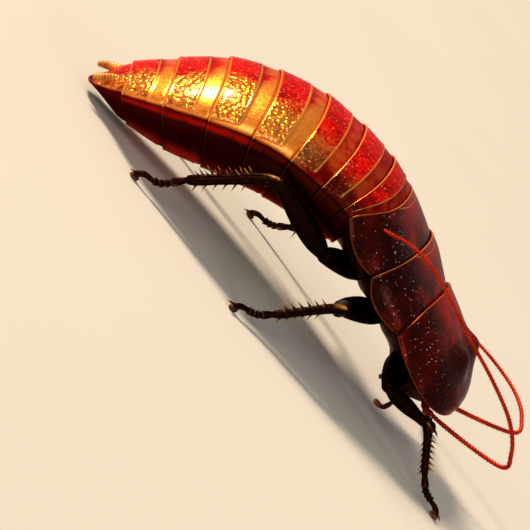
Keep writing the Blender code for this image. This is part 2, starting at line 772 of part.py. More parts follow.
def foot_stations(leg, grow=0.0):
    """The five beads of the foot, each narrow at its root and wide at its end."""
    path = curve_through([Vector(p) for p in leg.foot], 41)
    stations = []
    for rear, front in zip(FOOT_JOINTS, FOOT_JOINTS[1:]):
        for share, wide in ((0.1, 0.72), (0.9, 1.0)):
            place = rear + (front - rear) * share
            radius = FOOT_RADIUS * wide * (0.85 + 0.15 * leg.size)
            stations.append((path[round(place * 40)], radius, radius))
    return stations


def make_leg(name, leg, collection):
    hip, trochanter, knee = hip_point(leg), Vector(leg.trochanter), Vector(leg.knee)
    ankle = Vector(leg.foot[0])
    coxa_profile = sized(COXA_PROFILE, 0.6 + 0.4 * leg.size)
    femur_profile = sized(FEMUR_PROFILE, leg.size)
    tibia_profile = sized(TIBIA_PROFILE, leg.size)
    coxa = tube(f"coxa_{name}", limb_stations(hip, trochanter, coxa_profile), 10, UP, collection)
    for segment in thorax_cores():
        boolean(coxa, [core_cutter(segment, collection)], "DIFFERENCE")
    femur = tube(f"femur_{name}", limb_stations(trochanter, knee, femur_profile), 10, UP, collection)
    cutter = tube("cutter", limb_stations(hip, trochanter, coxa_profile, GAP), 10, UP, collection)
    boolean(femur, [cutter], "DIFFERENCE")
    tibia = tube(f"tibia_{name}", limb_stations(knee, ankle, tibia_profile), 8, UP, collection)
    cutter = tube("cutter", limb_stations(trochanter, knee, femur_profile, GAP), 10, UP, collection)
    boolean(tibia, [cutter], "DIFFERENCE")
    foot = tube(f"foot_{name}", foot_stations(leg), 7, UP, collection)
    cutter = tube("cutter", limb_stations(knee, ankle, tibia_profile, GAP), 8, UP, collection)
    boolean(foot, [cutter], "DIFFERENCE", "MANIFOLD")
    add_spines(tibia, knee, ankle, leg, collection)
    add_claws(foot, leg, collection)
    boolean(foot, [ground(collection)], "DIFFERENCE", "MANIFOLD")


def add_spines(tibia, knee, ankle, leg, collection):
    ahead = (ankle - knee).normalized()
    across = ahead.cross(UP).normalized()
    over = across.cross(ahead)
    spines = []
    for row, turn in enumerate((60, 120, 270)):
        out = across * math.cos(math.radians(turn)) + over * math.sin(math.radians(turn))
        for k in range(TIBIA_SPINES):
            share = 0.3 + 0.62 * (k + 0.33 * row) / TIBIA_SPINES
            root = knee.lerp(ankle, share) + out * 0.25 * leg.size
            direction = out + ahead * 0.9
            spines.append(spine(root, direction, SPINE_LENGTH * leg.size + 0.3, collection))
    boolean(tibia, spines, "UNION", "MANIFOLD")


def add_claws(foot, leg, collection):
    end = Vector(leg.foot[-1])
    ahead = (end - Vector(leg.foot[-2])).normalized()
    level = Vector((ahead.x, ahead.y, 0.0)).normalized()
    across = level.cross(UP)
    claws = []
    for sign in (1, -1):
        spread = math.radians(CLAW_SPREAD) * sign
        direction = level * math.cos(spread) + across * math.sin(spread)
        path = []
        for k in range(3):
            t = k / 2
            point = end - level * CLAW_SUNK + across * sign * CLAW_RADIUS * 0.8 + direction * CLAW_LENGTH * t
            point += UP * (0.14 + 0.3 * t - 0.62 * t * t)
            path.append((point, CLAW_RADIUS * (1 - 0.72 * t), CLAW_RADIUS * (1 - 0.72 * t)))
        claws.append(tube("claw", path, 5, UP, collection))
    middle = end - level * 0.25 - UP * 0.12
    pad = ellipsoid("pad", middle, (level * 0.8, across * 0.5, UP * 0.42), 8, 6, collection)
    for extra in [pad] + claws:
        boolean(foot, [extra], "UNION", "MANIFOLD")


# Colours and roughness of the pieces, by how their names start. The first match counts.
PAINTS = (
    ("abdomen_tip", (0.10, 0.022, 0.010), 0.30),
    ("abdomen_", (0.23, 0.030, 0.012), 0.28),
    ("cercus_", (0.42, 0.16, 0.035), 0.40),
    ("metanotum", (0.055, 0.012, 0.008), 0.30),
    ("mesonotum", (0.045, 0.010, 0.007), 0.30),
    ("pronotum", (0.035, 0.009, 0.007), 0.28),
    ("eye_", (0.008, 0.007, 0.007), 0.15),
    ("antenna_", (0.36, 0.075, 0.022), 0.50),
    ("maxillary_palp_", (0.14, 0.040, 0.018), 0.40),
    ("labial_palp_", (0.16, 0.050, 0.022), 0.40),
    ("head", (0.045, 0.014, 0.009), 0.28),
    ("tibia_", (0.020, 0.009, 0.007), 0.30),
    ("foot_", (0.030, 0.013, 0.009), 0.40),
    ("femur_", (0.028, 0.010, 0.007), 0.28),
    ("coxa_", (0.050, 0.016, 0.010), 0.30),
    ("", (0.060, 0.018, 0.012), 0.35),
)


def paint(obj):
    """Gives the object a material of its own."""
    colour, roughness = next((c, r) for start, c, r in PAINTS if obj.name.startswith(start))
    material = bpy.data.materials.new(obj.name)
    material.use_nodes = True
    shader = material.node_tree.nodes["Principled BSDF"]
    shader.inputs["Base Color"].default_value = (*colour, 1.0)
    shader.inputs["Roughness"].default_value = roughness
    shader.inputs["Metallic"].default_value = 0.0
    obj.data.materials.clear()
    obj.data.materials.append(material)


def settle(obj, parent):
    """Puts the object's origin at the middle of its mesh, and hangs it on the parent."""
    corners = [Vector(corner) for corner in obj.bound_box]
    middle = sum(corners, Vector()) / 8
    obj.data.transform(Matrix.Translation(-middle))
    obj.location = middle - BOX_MIDDLE * MM
    obj.parent = parent


def main():
    for obj in list(bpy.data.objects):
        bpy.data.objects.remove(obj)
    body = bpy.data.collections.new("hissing_cockroach")
    bpy.context.scene.collection.children.link(body)
    make_abdomen(body)
    make_thorax(body)
    make_head(body)
    for name, leg in LEGS.items():
        make_leg(name, leg, body)
    pieces = list(body.objects)
    parent = new_object("cockroach", None, body)
    for obj in pieces:
        clean(obj)
        keep_largest(obj)
        paint(obj)
        settle(obj, parent)


main()
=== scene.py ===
# %% [markdown]
# # A Madagascar hissing cockroach, life size
#
# The animal stands on six feet with its back arched, and its long abdomen slopes down behind it. A packed
# CAD model gives each plate and leg its place and size. This script makes a finer skin for each, with rims,
# grooves, spines and bristles, in the colour and gloss of real cuticle. Sizes are in millimetres, and `MM`
# turns them into Blender's metres.

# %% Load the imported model
import random
from math import cos, exp, hypot, pi, radians, sin, sqrt

import bpy
from mathutils import Matrix, Vector


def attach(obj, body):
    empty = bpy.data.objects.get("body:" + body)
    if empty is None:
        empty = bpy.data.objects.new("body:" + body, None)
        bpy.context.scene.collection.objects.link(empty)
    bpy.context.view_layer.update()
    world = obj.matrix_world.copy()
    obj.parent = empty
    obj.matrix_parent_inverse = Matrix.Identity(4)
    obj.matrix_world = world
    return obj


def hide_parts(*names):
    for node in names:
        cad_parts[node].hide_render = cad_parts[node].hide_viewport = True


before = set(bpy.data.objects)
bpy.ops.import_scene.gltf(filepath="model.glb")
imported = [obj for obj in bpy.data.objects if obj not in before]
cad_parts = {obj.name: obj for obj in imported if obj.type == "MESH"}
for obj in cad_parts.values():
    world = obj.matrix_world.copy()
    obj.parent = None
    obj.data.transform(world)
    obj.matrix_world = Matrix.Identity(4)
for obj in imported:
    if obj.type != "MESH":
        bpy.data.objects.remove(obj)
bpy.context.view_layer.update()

MM = 0.001
PER_MM = 1000.0
print("nodes in the frame:", len(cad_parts))

# %% [markdown]
# ## Camera
#
# The photograph was taken with a long lens from the animal's right side, and the picture is rolled by about
# 50 degrees. Two directions fix a camera: where it looks, and what points to the right in its picture. The
# third follows from them, so nothing is tuned by hand.

# %% Camera
CAMERA_PLACE = Vector((-69.47, -319.47, 71.77))
LOOKS_ALONG = Vector((0.19851, 0.95745, -0.20950))
PICTURE_RIGHT = Vector((0.65841, 0.02807, 0.75214))
LENS_MM, SENSOR_MM = 187.2, 36.0
NEAR_M = 0.01

back = -LOOKS_ALONG.normalized()
right = (PICTURE_RIGHT - back * PICTURE_RIGHT.dot(back)).normalized()
camera_data = bpy.data.cameras.new("camera")
camera_data.lens, camera_data.sensor_width, camera_data.clip_start = LENS_MM, SENSOR_MM, NEAR_M
camera = bpy.data.objects.new("camera", camera_data)
bpy.context.scene.collection.objects.link(camera)
turned = Matrix((right, back.cross(right), back)).transposed().to_4x4()
camera.matrix_world = Matrix.Translation(CAMERA_PLACE * MM) @ turned
bpy.context.scene.camera = camera
print("camera height above the floor in mm:", CAMERA_PLACE.z)

# %% [markdown]
# ## Helpers for nodes and colours
#
# Each material is a small tree of nodes. One helper feeds values and links into a node, and another adds a
# node with its settings, so a tree reads from top to bottom. Colours are hex values, as a colour picker
# shows them. Those are sRGB, and one function turns them into the linear ones that a shader wants.

# %% Helpers for materials
def linear(hex_colour):
    """The linear colour of an sRGB hex value."""
    values = [int(hex_colour[i : i + 2], 16) / 255 for i in (1, 3, 5)]
    turned = [v / 12.92 if v <= 0.04045 else ((v + 0.055) / 1.055) ** 2.4 for v in values]
    return (*turned, 1.0)


def feed(tree, node, inputs):
    """Feeds a node's inputs, by name or in order. Each gets a value, a socket, or a node's first output."""
    for place, value in inputs.items() if isinstance(inputs, dict) else enumerate(inputs):
        if isinstance(value, bpy.types.Node):
            value = next(o for o in value.outputs if o.enabled)
        if isinstance(value, bpy.types.NodeSocket):
            tree.links.new(value, node.inputs[place])
        else:
            node.inputs[place].default_value = value


def add(tree, kind, inputs=(), **settings):
    """Adds a node with its settings and its inputs."""
    made = tree.nodes.new("ShaderNode" + kind)
    for name, value in settings.items():
        setattr(made, name, value)
    feed(tree, made, inputs)
    return made


def new_material(name):
    """A new material, with its tree and its shader."""
    material = bpy.data.materials.new(name)
    material.use_nodes = True
    return material, material.node_tree, material.node_tree.nodes["Principled BSDF"]


print("amber in linear values:", [round(v, 3) for v in linear("#C8741C")[:3]])

# %% [markdown]
# ## Floor and light
#
# A museum would show such a model on plain pale board, so one large sheet fills the picture. Wide area
# lights give soft edges and long gentle highlights, and on glossy cuticle a highlight is what shows the
# form. The main light is warm and stands high beyond the tail, above the picture's upper edge, as the lamp
# does in the photograph. A wide one fills the shadows from the camera's side, and a weak cool one comes from
# the head's side.

# %% Floor
FLOOR_SIZE_M = 12.0
# the floor lies a hair below zero, so that it and the flat pads of the feet don't flicker
FLOOR_LEVEL_M = -0.00002

bpy.ops.object.select_all(action="DESELECT")
bpy.ops.mesh.primitive_plane_add(size=FLOOR_SIZE_M, location=(0.0, 0.0, FLOOR_LEVEL_M))
floor = bpy.context.object
floor.name = "floor"
board, tree, shader = new_material("pale_painted_board")
where = add(tree, "TexCoord").outputs["Object"]
cloudy = add(tree, "TexNoise", {"Vector": where, "Scale": 9.0, "Detail": 3.0})
tint = add(tree, "Mix", {0: cloudy, 6: linear("#BEB8AF"), 7: linear("#C8C2B9")}, data_type="RGBA")
feed(tree, shader, {"Base Color": tint, "Roughness": 0.8})
floor.data.materials.append(board)
print("floor in metres:", FLOOR_SIZE_M)

# %% Lights
# name, place and aim in millimetres, size in millimetres, watts, colour
LAMPS = (
    ("key", (-1960, 1020, 1860), (0, 0, 10), 700, 150, "#FFEBD0"),
    ("fill", (-900, -2300, 1400), (0, 0, 8), 1600, 34, "#FFF1E2"),
    ("cool", (1700, -1300, 1300), (12, 0, 8), 300, 6, "#DCEBFF"),
)
for name, place, aim, size, watts, colour in LAMPS:
    data = bpy.data.lights.new(name, "AREA")
    data.size, data.energy, data.color = size * MM, watts, linear(colour)[:3]
    light = bpy.data.objects.new(name, data)
    bpy.context.scene.collection.objects.link(light)
    turned = (Vector(aim) - Vector(place)).to_track_quat("-Z", "Y").to_matrix().to_4x4()
    light.matrix_world = Matrix.Translation(Vector(place) * MM) @ turned
world = bpy.data.worlds.new("studio")
bpy.context.scene.world = world
world.use_nodes = True
feed(world.node_tree, world.node_tree.nodes["Background"], {"Color": linear("#E8E4DE"), "Strength": 0.42})
# the standard view keeps the deep reds of the cuticle as saturated as they are
bpy.context.scene.view_settings.view_transform = "Standard"
print("lights:", [lamp[0] for lamp in LAMPS])

# %% [markdown]
# ## The shape of the body
#
# A cockroach's body is a row of rings, and the plate on each ring's back laps over the next one towards the
# tail. All share one smooth outline: a midline that climbs from the tail, arches and falls to the head, with
# a width, a height of the back and a depth of the belly at every point. The numbers are the seams between
# the plates. Anything on the body is placed by its distance along the midline, so a finer skin fits the
# CAD's rings with no further fitting.

# %% The seams of the body
BOX_MIDDLE = Vector((12.28, -0.65, 0.0))
TAIL_TIP = Vector((-21.75, 0.06, 1.39))
UP = Vector((0.0, 0.0, 1.0))
SIDES = {"left": 1, "right": -1}

# distance along the midline, slope, half width, height of the back, depth of the belly, corners backwards
SEAMS = (
    (0.0, 43.5, 2.4, 0.9, 1.2, 0.0),
    (4.6, 43.5, 6.0, 2.1, 4.5, 0.6),
    (9.8, 38.8, 9.3, 3.2, 6.8, 0.8),
    (15.4, 32.7, 11.3, 4.7, 7.8, 0.8),
    (20.9, 24.0, 12.2, 5.3, 8.1, 0.8),
    (26.3, 13.5, 12.6, 5.6, 7.8, 0.8),
    (31.5, 7.5, 12.4, 5.3, 7.3, 0.8),
    (35.8, -2.6, 12.0, 5.1, 6.6, 1.0),
    (38.9, -14.5, 12.0, 4.9, 5.9, 2.8),
    (44.9, -17.6, 12.4, 4.6, 5.5, 0.6),
    (51.0, -20.1, 10.8, 4.2, 5.1, -1.2),
    (64.8, -15.0, 9.6, 3.6, 4.6, 0.0),
)
HALF_WIDTH, RISE, DROP, CORNER = 2, 3, 4, 5
OUTLINE_STEP, OUTLINE_COUNT = 0.1, 700


def clamp(x, low=0.0, high=1.0):
    """The value, kept between low and high."""
    return min(max(x, low), high)


def ease(low, high, x):
    """0 below low, 1 above high, and a smooth step between them."""
    t = clamp((x - low) / (high - low))
    return t * t * (3 - 2 * t)


def bump(middle, width, x):
    """A smooth hill of height 1."""
    return exp(-(((x - middle) / width) ** 2))


def smooth_table(table, column, x):
    """One column of a table at x, on a smooth curve through its rows. The first column of the table is x."""
    xs = [row[0] for row in table]
    ys = [row[column] for row in table]
    last = len(xs) - 1
    i = max(j for j in range(last) if xs[j] <= max(x, xs[0]))
    span = xs[i + 1] - xs[i]
    t = clamp((x - xs[i]) / span, -0.3, 1.3)
    slopes = []
    for j in (i, i + 1):
        low, high = max(j - 1, 0), min(j + 1, last)
        slopes.append((ys[high] - ys[low]) / (xs[high] - xs[low]) * span)
    t2, t3 = t * t, t * t * t
    ends = ys[i] * (2 * t3 - 3 * t2 + 1) + ys[i + 1] * (3 * t2 - 2 * t3)
    return ends + slopes[0] * (t3 - 2 * t2 + t) + slopes[1] * (t3 - t2)


OUTLINE = {
    column: [smooth_table(SEAMS, column, k * OUTLINE_STEP) for k in range(OUTLINE_COUNT)]
    for column in (HALF_WIDTH, RISE, DROP)
}


def outline(column, along):
    """A measure of the body's outline at a distance along the midline."""
    place = clamp(along / OUTLINE_STEP, 0.0, OUTLINE_COUNT - 2.0)
    k = int(place)
    low, high = OUTLINE[column][k : k + 2]
    return low + (high - low) * (place - k)


print("widest in mm:", round(2 * max(OUTLINE[HALF_WIDTH]), 1))

# %% The midline
# the front of the body turns to the animal's right and rolls, over this stretch of the midline
TURN_START, TURN_LENGTH = 22.0, 25.0
YAW, ROLL = -7.4, 8.8
MIDLINE_STEP, MIDLINE_COUNT = 0.2, 330
# back and belly are rounded by a power of a sine. The belly starts lower than the back, and inside its margin
BACK_POWER, BELLY_POWER = 1.3, 1.15
BELLY_TOP, BELLY_INSET = -0.4, 0.7


def body_axes(along):
    """Forward, left and up of the body at a distance along the midline."""
    slope = SEAMS[-1][1]
    for low, high in zip(SEAMS, SEAMS[1:]):
        if along <= high[0]:
            slope = low[1] + (high[1] - low[1]) * max(along - low[0], 0.0) / (high[0] - low[0])
            break
    turn = clamp((along - TURN_START) / TURN_LENGTH)
    pitch, yaw, roll = (radians(x) for x in (slope, YAW * turn, ROLL * turn))
    forward = Vector((cos(pitch) * cos(yaw), cos(pitch) * sin(yaw), sin(pitch)))
    level = Vector((-sin(yaw), cos(yaw), 0.0))
    upright = forward.cross(level)
    left = level * cos(roll) + upright * sin(roll)
    return forward, left, upright * cos(roll) - level * sin(roll)


MIDLINE = [TAIL_TIP.copy()]
for i in range(MIDLINE_COUNT):
    MIDLINE.append(MIDLINE[-1] + body_axes((i + 0.5) * MIDLINE_STEP)[0] * MIDLINE_STEP)


def on_body(along, side, height):
    """The point at this distance along the midline, to the left of it by side, and above it by height."""
    i = clamp(int(along / MIDLINE_STEP), 0, len(MIDLINE) - 2)
    _, left, up = body_axes(along)
    return MIDLINE[i].lerp(MIDLINE[i + 1], along / MIDLINE_STEP - i) + left * side + up * height


def arch(turn):
    """How high the back is at a turn, from 0 at its left margin over 1 at the ridge to 0 at its right one."""
    return max(sin(turn), 0.0) ** BACK_POWER


def back_point(along, turn, grow, corner, lobe=0.0):
    """A point of the back. The turn goes from 0 at the left margin to pi at the right one."""
    side = (outline(HALF_WIDTH, along) + grow + lobe) * cos(turn)
    height = (outline(RISE, along) + grow) * arch(turn) - lobe * cos(turn) ** 8
    return on_body(along - corner * cos(turn) ** 4, side, height)


def belly_point(along, turn, grow, corner):
    """A point of the belly. The turn goes on from pi at the right side to two pi at the left one."""
    side = (outline(HALF_WIDTH, along) - BELLY_INSET + grow) * cos(turn)
    depth = (outline(DROP, along) + grow) * max(-sin(turn), 0.0) ** BELLY_POWER
    return on_body(along - corner * cos(turn) ** 4, side, BELLY_TOP - depth)


print("length along the midline in mm:", round(len(MIDLINE) * MIDLINE_STEP))

# %% [markdown]
# ## One way to make a skin
#
# A plate or a limb is a sheet that is bent round something. Blender's grid is such a sheet: it is added
# flat, and each of its points is moved to its place on the animal. Two edges that meet are merged, and where
# a whole row comes to one point the merge closes the end. The points also carry marks, numbers between 0 and
# 1 that the materials read: where the surface is grained, gold, red, dark or lined. A mark moves with the
# surface, so a band of colour follows the rim of its plate exactly.

# %% The skin helper
MARKS = ("grain", "gold", "red", "dark", "line")
MERGE_WITHIN_M = 0.000002


def skin(name, rows, columns, place, origin=BOX_MIDDLE):
    """A closed skin from a grid. place(v, u) gives a point in millimetres and its marks."""
    bpy.ops.object.select_all(action="DESELECT")
    bpy.ops.mesh.primitive_grid_add(x_subdivisions=columns, y_subdivisions=rows, size=1.0)
    piece = bpy.context.object
    piece.name = piece.data.name = name
    values = {mark: [] for mark in MARKS}
    for vertex in piece.data.vertices:
        point, marks = place(vertex.co.y + 0.5, vertex.co.x + 0.5)
        vertex.co = (point - origin) * MM
        for mark in MARKS:
            values[mark].append(float(marks.get(mark, 0.0)))
    for mark in MARKS:
        layer = piece.data.attributes.new(mark, "FLOAT", "POINT")
        layer.data.foreach_set("value", values[mark])
    bpy.ops.object.mode_set(mode="EDIT")
    bpy.ops.mesh.select_all(action="SELECT")
    bpy.ops.mesh.remove_doubles(threshold=MERGE_WITHIN_M)
    bpy.ops.mesh.normals_make_consistent(inside=False)
    bpy.ops.object.mode_set(mode="OBJECT")
    bpy.ops.object.shade_smooth()
    return piece


def dress(piece, material, slot, *nodes):
    """Gives a piece its material, sets it on the root body and hides its CAD nodes. The slot is not used."""
    piece.data.materials.clear()
    piece.data.materials.append(material)
    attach(piece, "root")
    if nodes:
        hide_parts(*nodes)
    return piece


def join(first, others, name):
    """Joins other pieces to the first one, as one mesh."""
    bpy.ops.object.select_all(action="DESELECT")
    for piece in [first, *others]:
        piece.select_set(True)
    bpy.context.view_layer.objects.active = first
    bpy.ops.object.join()
    first.name = first.data.name = name
    return first


print("marks on each skin:", MARKS)

# %% [markdown]
# ## The finish of the abdomen
#
# The cuticle of the abdomen is chitin that hardened through many thin layers: a glossy, slightly see-through
# horn, deep red where it is thick and amber where it is thin, with an IOR of about 1.56. Behind its middle
# each plate is set with low granules about 0.5 mm apart, and a Voronoi pattern is such a field of cells. The
# front is smooth, because it slides under its neighbour. The gold of the flanks is the lamp seen in thin
# amber layers, so there the shader is made partly metallic with a golden colour.

# %% Cuticle material
def cuticle(
    name, deep, bright, gold, dark, line, grain_mm, bump_mm, rough, metal, glints=0.0, tip="#F2D9B0",
    glint_spacing_mm=0.8, sheen="#D88C64", foil=0.45, patch_mm=2.5, reds=(0.34, 0.58), gloss=0.25,
):
    """Insect cuticle: two shades of its own colour, and gold, dark and lined places where the marks say."""
    material, tree, shader = new_material(name)
    where = add(tree, "TexCoord").outputs["Object"]
    mark = {m: add(tree, "Attribute", attribute_name=m).outputs["Fac"] for m in MARKS}
    # patches where the brighter colour shines through more or less
    cloud = {"Vector": where, "Scale": PER_MM / patch_mm, "Detail": 3.0, "Roughness": 0.6}
    patches = add(tree, "TexNoise", cloud)
    spread = add(tree, "MapRange", (patches, reds[0], reds[1]))
    redder = add(tree, "Math", (spread, mark["red"]), operation="MAXIMUM")
    colour = add(tree, "Mix", {0: redder, 6: linear(deep), 7: linear(bright)}, data_type="RGBA")
    # granules, one every grain_mm, and a finer unevenness of 2.6 waves a millimetre
    cells = add(tree, "TexVoronoi", {"Vector": where, "Scale": PER_MM / grain_mm}, feature="SMOOTH_F1")
    fine = add(tree, "TexNoise", {"Vector": where, "Scale": 2.6 * PER_MM, "Detail": 2.0})
    # the gold ends in an uneven edge, and breaks up between the granules
    solid = add(tree, "Math", (mark["gold"], mark["gold"]), operation="MULTIPLY")
    partly = add(tree, "Math", (mark["gold"], solid), operation="SUBTRACT")
    sway = add(tree, "MapRange", (patches, 0.35, 0.65, -2.2, 2.2))
    edged = (partly, sway, mark["gold"])
    edged = add(tree, "Math", edged, operation="MULTIPLY_ADD", use_clamp=True)
    broken = add(tree, "MapRange", (fine, 0.35, 0.6, 0.7, 1.0))
    golden = add(tree, "Math", (edged, broken), operation="MULTIPLY", use_clamp=True)
    # painted shade in the pits between the granules
    pit_shade = add(tree, "MapRange", (cells.outputs["Distance"], 0.42, 0.75, 0.0, 0.75))
    pit_shaded = add(tree, "Math", (pit_shade, mark["grain"]), operation="MULTIPLY")
    # sparse granules with sharp tips, each tip painted with a pale glint, some brighter than others
    glint_cells = add(tree, "TexVoronoi", {"Vector": where, "Scale": PER_MM / glint_spacing_mm})
    size = add(tree, "MapRange", (glint_cells.outputs["Distance"], 0.19, 0.12, 0.0, glints))
    luck = add(tree, "MapRange", (glint_cells.outputs["Color"], 0.3, 0.7, 0.15, 1.0))
    chosen = add(tree, "Math", (size, luck), operation="MULTIPLY")
    painted_glint_tips = add(tree, "Math", (chosen, mark["grain"]), operation="MULTIPLY")
    # each shade covers the ones before it where its share is 1; the tip colour is a painted glint
    shades = ((golden, gold), (pit_shaded, deep), (mark["dark"], dark), (painted_glint_tips, tip), (mark["line"], line))
    for share, shade in shades:
        colour = add(tree, "Mix", {0: share, 6: colour, 7: linear(shade)}, data_type="RGBA")
    # many thin layers reflect like foil, and a dark place mirrors the room only in its own dark colour
    foiled = add(tree, "Math", (golden, metal - foil, foil), operation="MULTIPLY_ADD")
    veiled = add(tree, "Math", (mark["dark"], 0.95), operation="MULTIPLY")
    mirrored = add(tree, "Math", (foiled, veiled), operation="MAXIMUM")
    metallic = add(tree, "Math", (mirrored, painted_glint_tips), operation="SUBTRACT", use_clamp=True)
    # between the granules and on the smooth parts the gloss is softer
    uneven = add(tree, "MapRange", (fine, 0.3, 0.7, rough + 0.04, rough + 0.16))
    roughness = add(tree, "Math", (mark["grain"], -0.08, uneven), operation="MULTIPLY_ADD")
    # heights: round granules, sharp tips, and a fine unevenness everywhere
    domes = add(tree, "MapRange", (cells.outputs["Distance"], 0.1, 0.75, 1.0, 0.0))
    high = add(tree, "Math", (domes, painted_glint_tips), operation="ADD")
    grained = add(tree, "Math", (high, mark["grain"]), operation="MULTIPLY")
    height = add(tree, "Math", (fine, 0.12, grained), operation="MULTIPLY_ADD")
    relief = add(tree, "Bump", {"Height": height, "Distance": bump_mm * MM})
    # a clear outer layer over the gold, where the lamp shows white
    clear = add(tree, "Math", (golden, 0.6), operation="MULTIPLY")
    feed(tree, shader, {
        "Base Color": colour, "Metallic": metallic, "Roughness": roughness, "Normal": relief,
        "Coat Weight": clear, "Coat Roughness": 0.16, "IOR": 1.56, "Specular IOR Level": gloss,
        "Specular Tint": linear(sheen),
    })
    return material


ABDOMEN = cuticle(
    "glossy_red_amber_cuticle", "#9A0402", "#F01408", "#F0922C", "#380B05", "#F8AC4C", grain_mm=0.5,
    bump_mm=0.15, rough=0.22, metal=0.85, glints=0.8, glint_spacing_mm=0.45, sheen="#F04A1C", foil=0.5, gloss=0.05,
)
# the thorax's horn is thicker and nearly black, so its gloss and the pale glints painted on it show more than
# red
THORAX = cuticle(
    "glossy_mahogany_cuticle", "#340805", "#AC1406", "#B0641E", "#260A07", "#E87A28", grain_mm=0.6,
    bump_mm=0.03, rough=0.2, metal=0.5, glints=1.0, tip="#C4D6E2", glint_spacing_mm=0.5, patch_mm=4.5,
    reds=(0.46, 0.7), gloss=0.3,
)
print("cuticles:", ABDOMEN.name, THORAX.name)

# %% [markdown]
# ## The abdomen
#
# Seven rings show. From the tail to the head each plate of the back has a thin raised rim, the granular
# part, a fine raised line that turns tailwards near the margin, and the smooth part that slides under the
# plate in front. The belly plate has a curved fold. Modelling that by hand on seven rings would take days,
# so the height is written once as a function of the share along the plate, from 0 at its rim to 1 at its
# front, and of the flank: 0 on the ridge, 1 at the margin and 2 in the middle of the belly.

# %% Relief and marks of a ring
# share of a ring's columns, and the turn in degrees there. They lie closer on the back than on the belly
RING_TURNS = ((0.0, 270.0), (0.18, 360.0), (0.82, 540.0), (1.0, 630.0))
# how much each ring looks as the tail's do: more gold, and less dark at the margin
TAIL_SHARE = {7: 1.0, 6: 0.97, 5: 0.92, 4: 0.78, 3: 0.48, 2: 0.22, 1: 0.04}
LINE_SHARE = 0.62


def ring_turn(u):
    """The turn at a share of a ring's columns."""
    for (low, start), (high, end) in zip(RING_TURNS, RING_TURNS[1:]):
        if u <= high:
            return radians(start + (end - start) * (u - low) / (high - low))
    return radians(RING_TURNS[-1][1])


def flank_at(turn):
    """0 on the ridge, 1 at the margins, 2 in the middle of the belly."""
    out = abs(cos(turn))
    return out if sin(turn) > -0.001 else 2.0 - out


def thin_line(flank):
    """Where the thin raised line crosses the plate, as a share. It turns tailwards near the margin."""
    return LINE_SHARE - 0.6 * ease(0.978, 0.9999, flank) ** 2


def belly_fold(flank):
    """Where a curved fold crosses the belly plate, as a share. It starts at the plate's rear corner."""
    return 0.3 + 0.5 * ease(1.0, 1.45, flank)


def ring_relief(share, flank):
    """How far the skin stands off the body's outline."""
    tuck = -0.15 * ease(0.955, 1.0, share)
    if flank > 1.0:
        fold = share - belly_fold(flank)
        crease = 0.05 * bump(0.0, 0.04, fold) - 0.07 * ease(0.0, 0.1, fold)
        return 0.14 - 0.12 * share + tuck + 0.05 * bump(0.03, 0.03, share) + crease
    ahead = share - thin_line(flank)
    height = 0.02 - 0.1 * ease(0.0, 0.07, ahead) + tuck + 0.13 * max(-ahead, 0.0) / LINE_SHARE
    return height + 0.09 * bump(0.0, 0.016, ahead) + 0.07 * bump(0.03, 0.02, share)


def ring_marks(share, flank, tail):
    """The marks at a place of a ring: on the belly a painted red glow near the tail, on the back the rest."""
    # the rear rim is a raised lip, and its pale line is a painted highlight
    rim = bump(0.008, 0.016, share)
    if flank > 1.0:
        # painted red glow: light through the cuticle near the tail, and a lit red strip under the margin
        borders = 0.6 * bump(0.0, 0.09, share) + 0.6 * ease(0.75, 1.0, share)
        painted_glow = bump(0.975, 0.05, tail) * ease(1.18, 1.5, flank) * (1.0 - borders)
        painted_glow = max(painted_glow, 0.45 * bump(1.008, 0.006, flank) * ease(0.7, 0.95, tail))
        return {"red": 0.5 * painted_glow, "dark": 1.0 - painted_glow, "line": 0.06 * rim}
    ahead = share - thin_line(flank)
    smooth_part = ease(0.0, 0.05, ahead)
    amber = ease(0.02, 0.22, ahead + 0.25 * ease(0.35, 0.75, flank))
    start = 0.25 + 0.55 * (1.0 - tail)
    gold = smooth_part * amber * (0.12 + 0.88 * ease(0.42, 0.82, tail))
    gold *= 0.55 + 0.45 * ease(0.1, 0.5, flank)
    gold += (1.0 - smooth_part) * ease(start, start + 0.45, flank) * ease(0.0, 0.7, tail)
    dark = max(
        smooth_part * 0.6 * (1.0 - ease(0.3, 0.75, tail)),
        0.9 * ease(0.7, 0.97, flank) * (1.0 - ease(0.3, 0.85, tail)),
        0.7 * bump(0.0, 0.02, ahead + 0.03) * ease(0.8, 0.95, tail),
        0.55 * smooth_part * (1.0 - amber),
    )
    return {
        "grain": ease(0.0, 0.04, -ahead) * ease(0.02, 0.06, share), "gold": gold, "dark": dark,
        "red": 0.65 * ease(0.6, 0.15, flank),
        "line": max(bump(0.0, 0.017, ahead) * (1.0 - 0.4 * ease(0.8, 0.95, tail)), 0.85 * rim),
    }


print("thin line in the middle and near the margin:", thin_line(0.0), round(thin_line(0.99), 2))

# %% The seven rings
RING_STEPS, RING_COLUMNS = 44, 208
CENTRE_HEIGHT = -1.0


def ring_rows(length):
    """A ring's rows from its front: kind, distance ahead of the rear seam, and a share (skin) or a height."""
    rows = [("centre", length + 0.8, 0.0), ("tuck", length + 0.8, -0.42), ("tuck", length + 0.3, -0.32)]
    rows += [("skin", length * x / RING_STEPS, x / RING_STEPS) for x in range(RING_STEPS, -1, -1)]
    return rows + [("edge", 0.0, 0.0), ("edge", 0.06, -0.09), ("tuck", 1.1, -0.2), ("centre", 1.1, 0.0)]


def corner_between(rear, front, share):
    """How far the corners of a plate reach backwards, at a share of the way between its two seams."""
    return rear[CORNER] + (front[CORNER] - rear[CORNER]) * clamp(share)


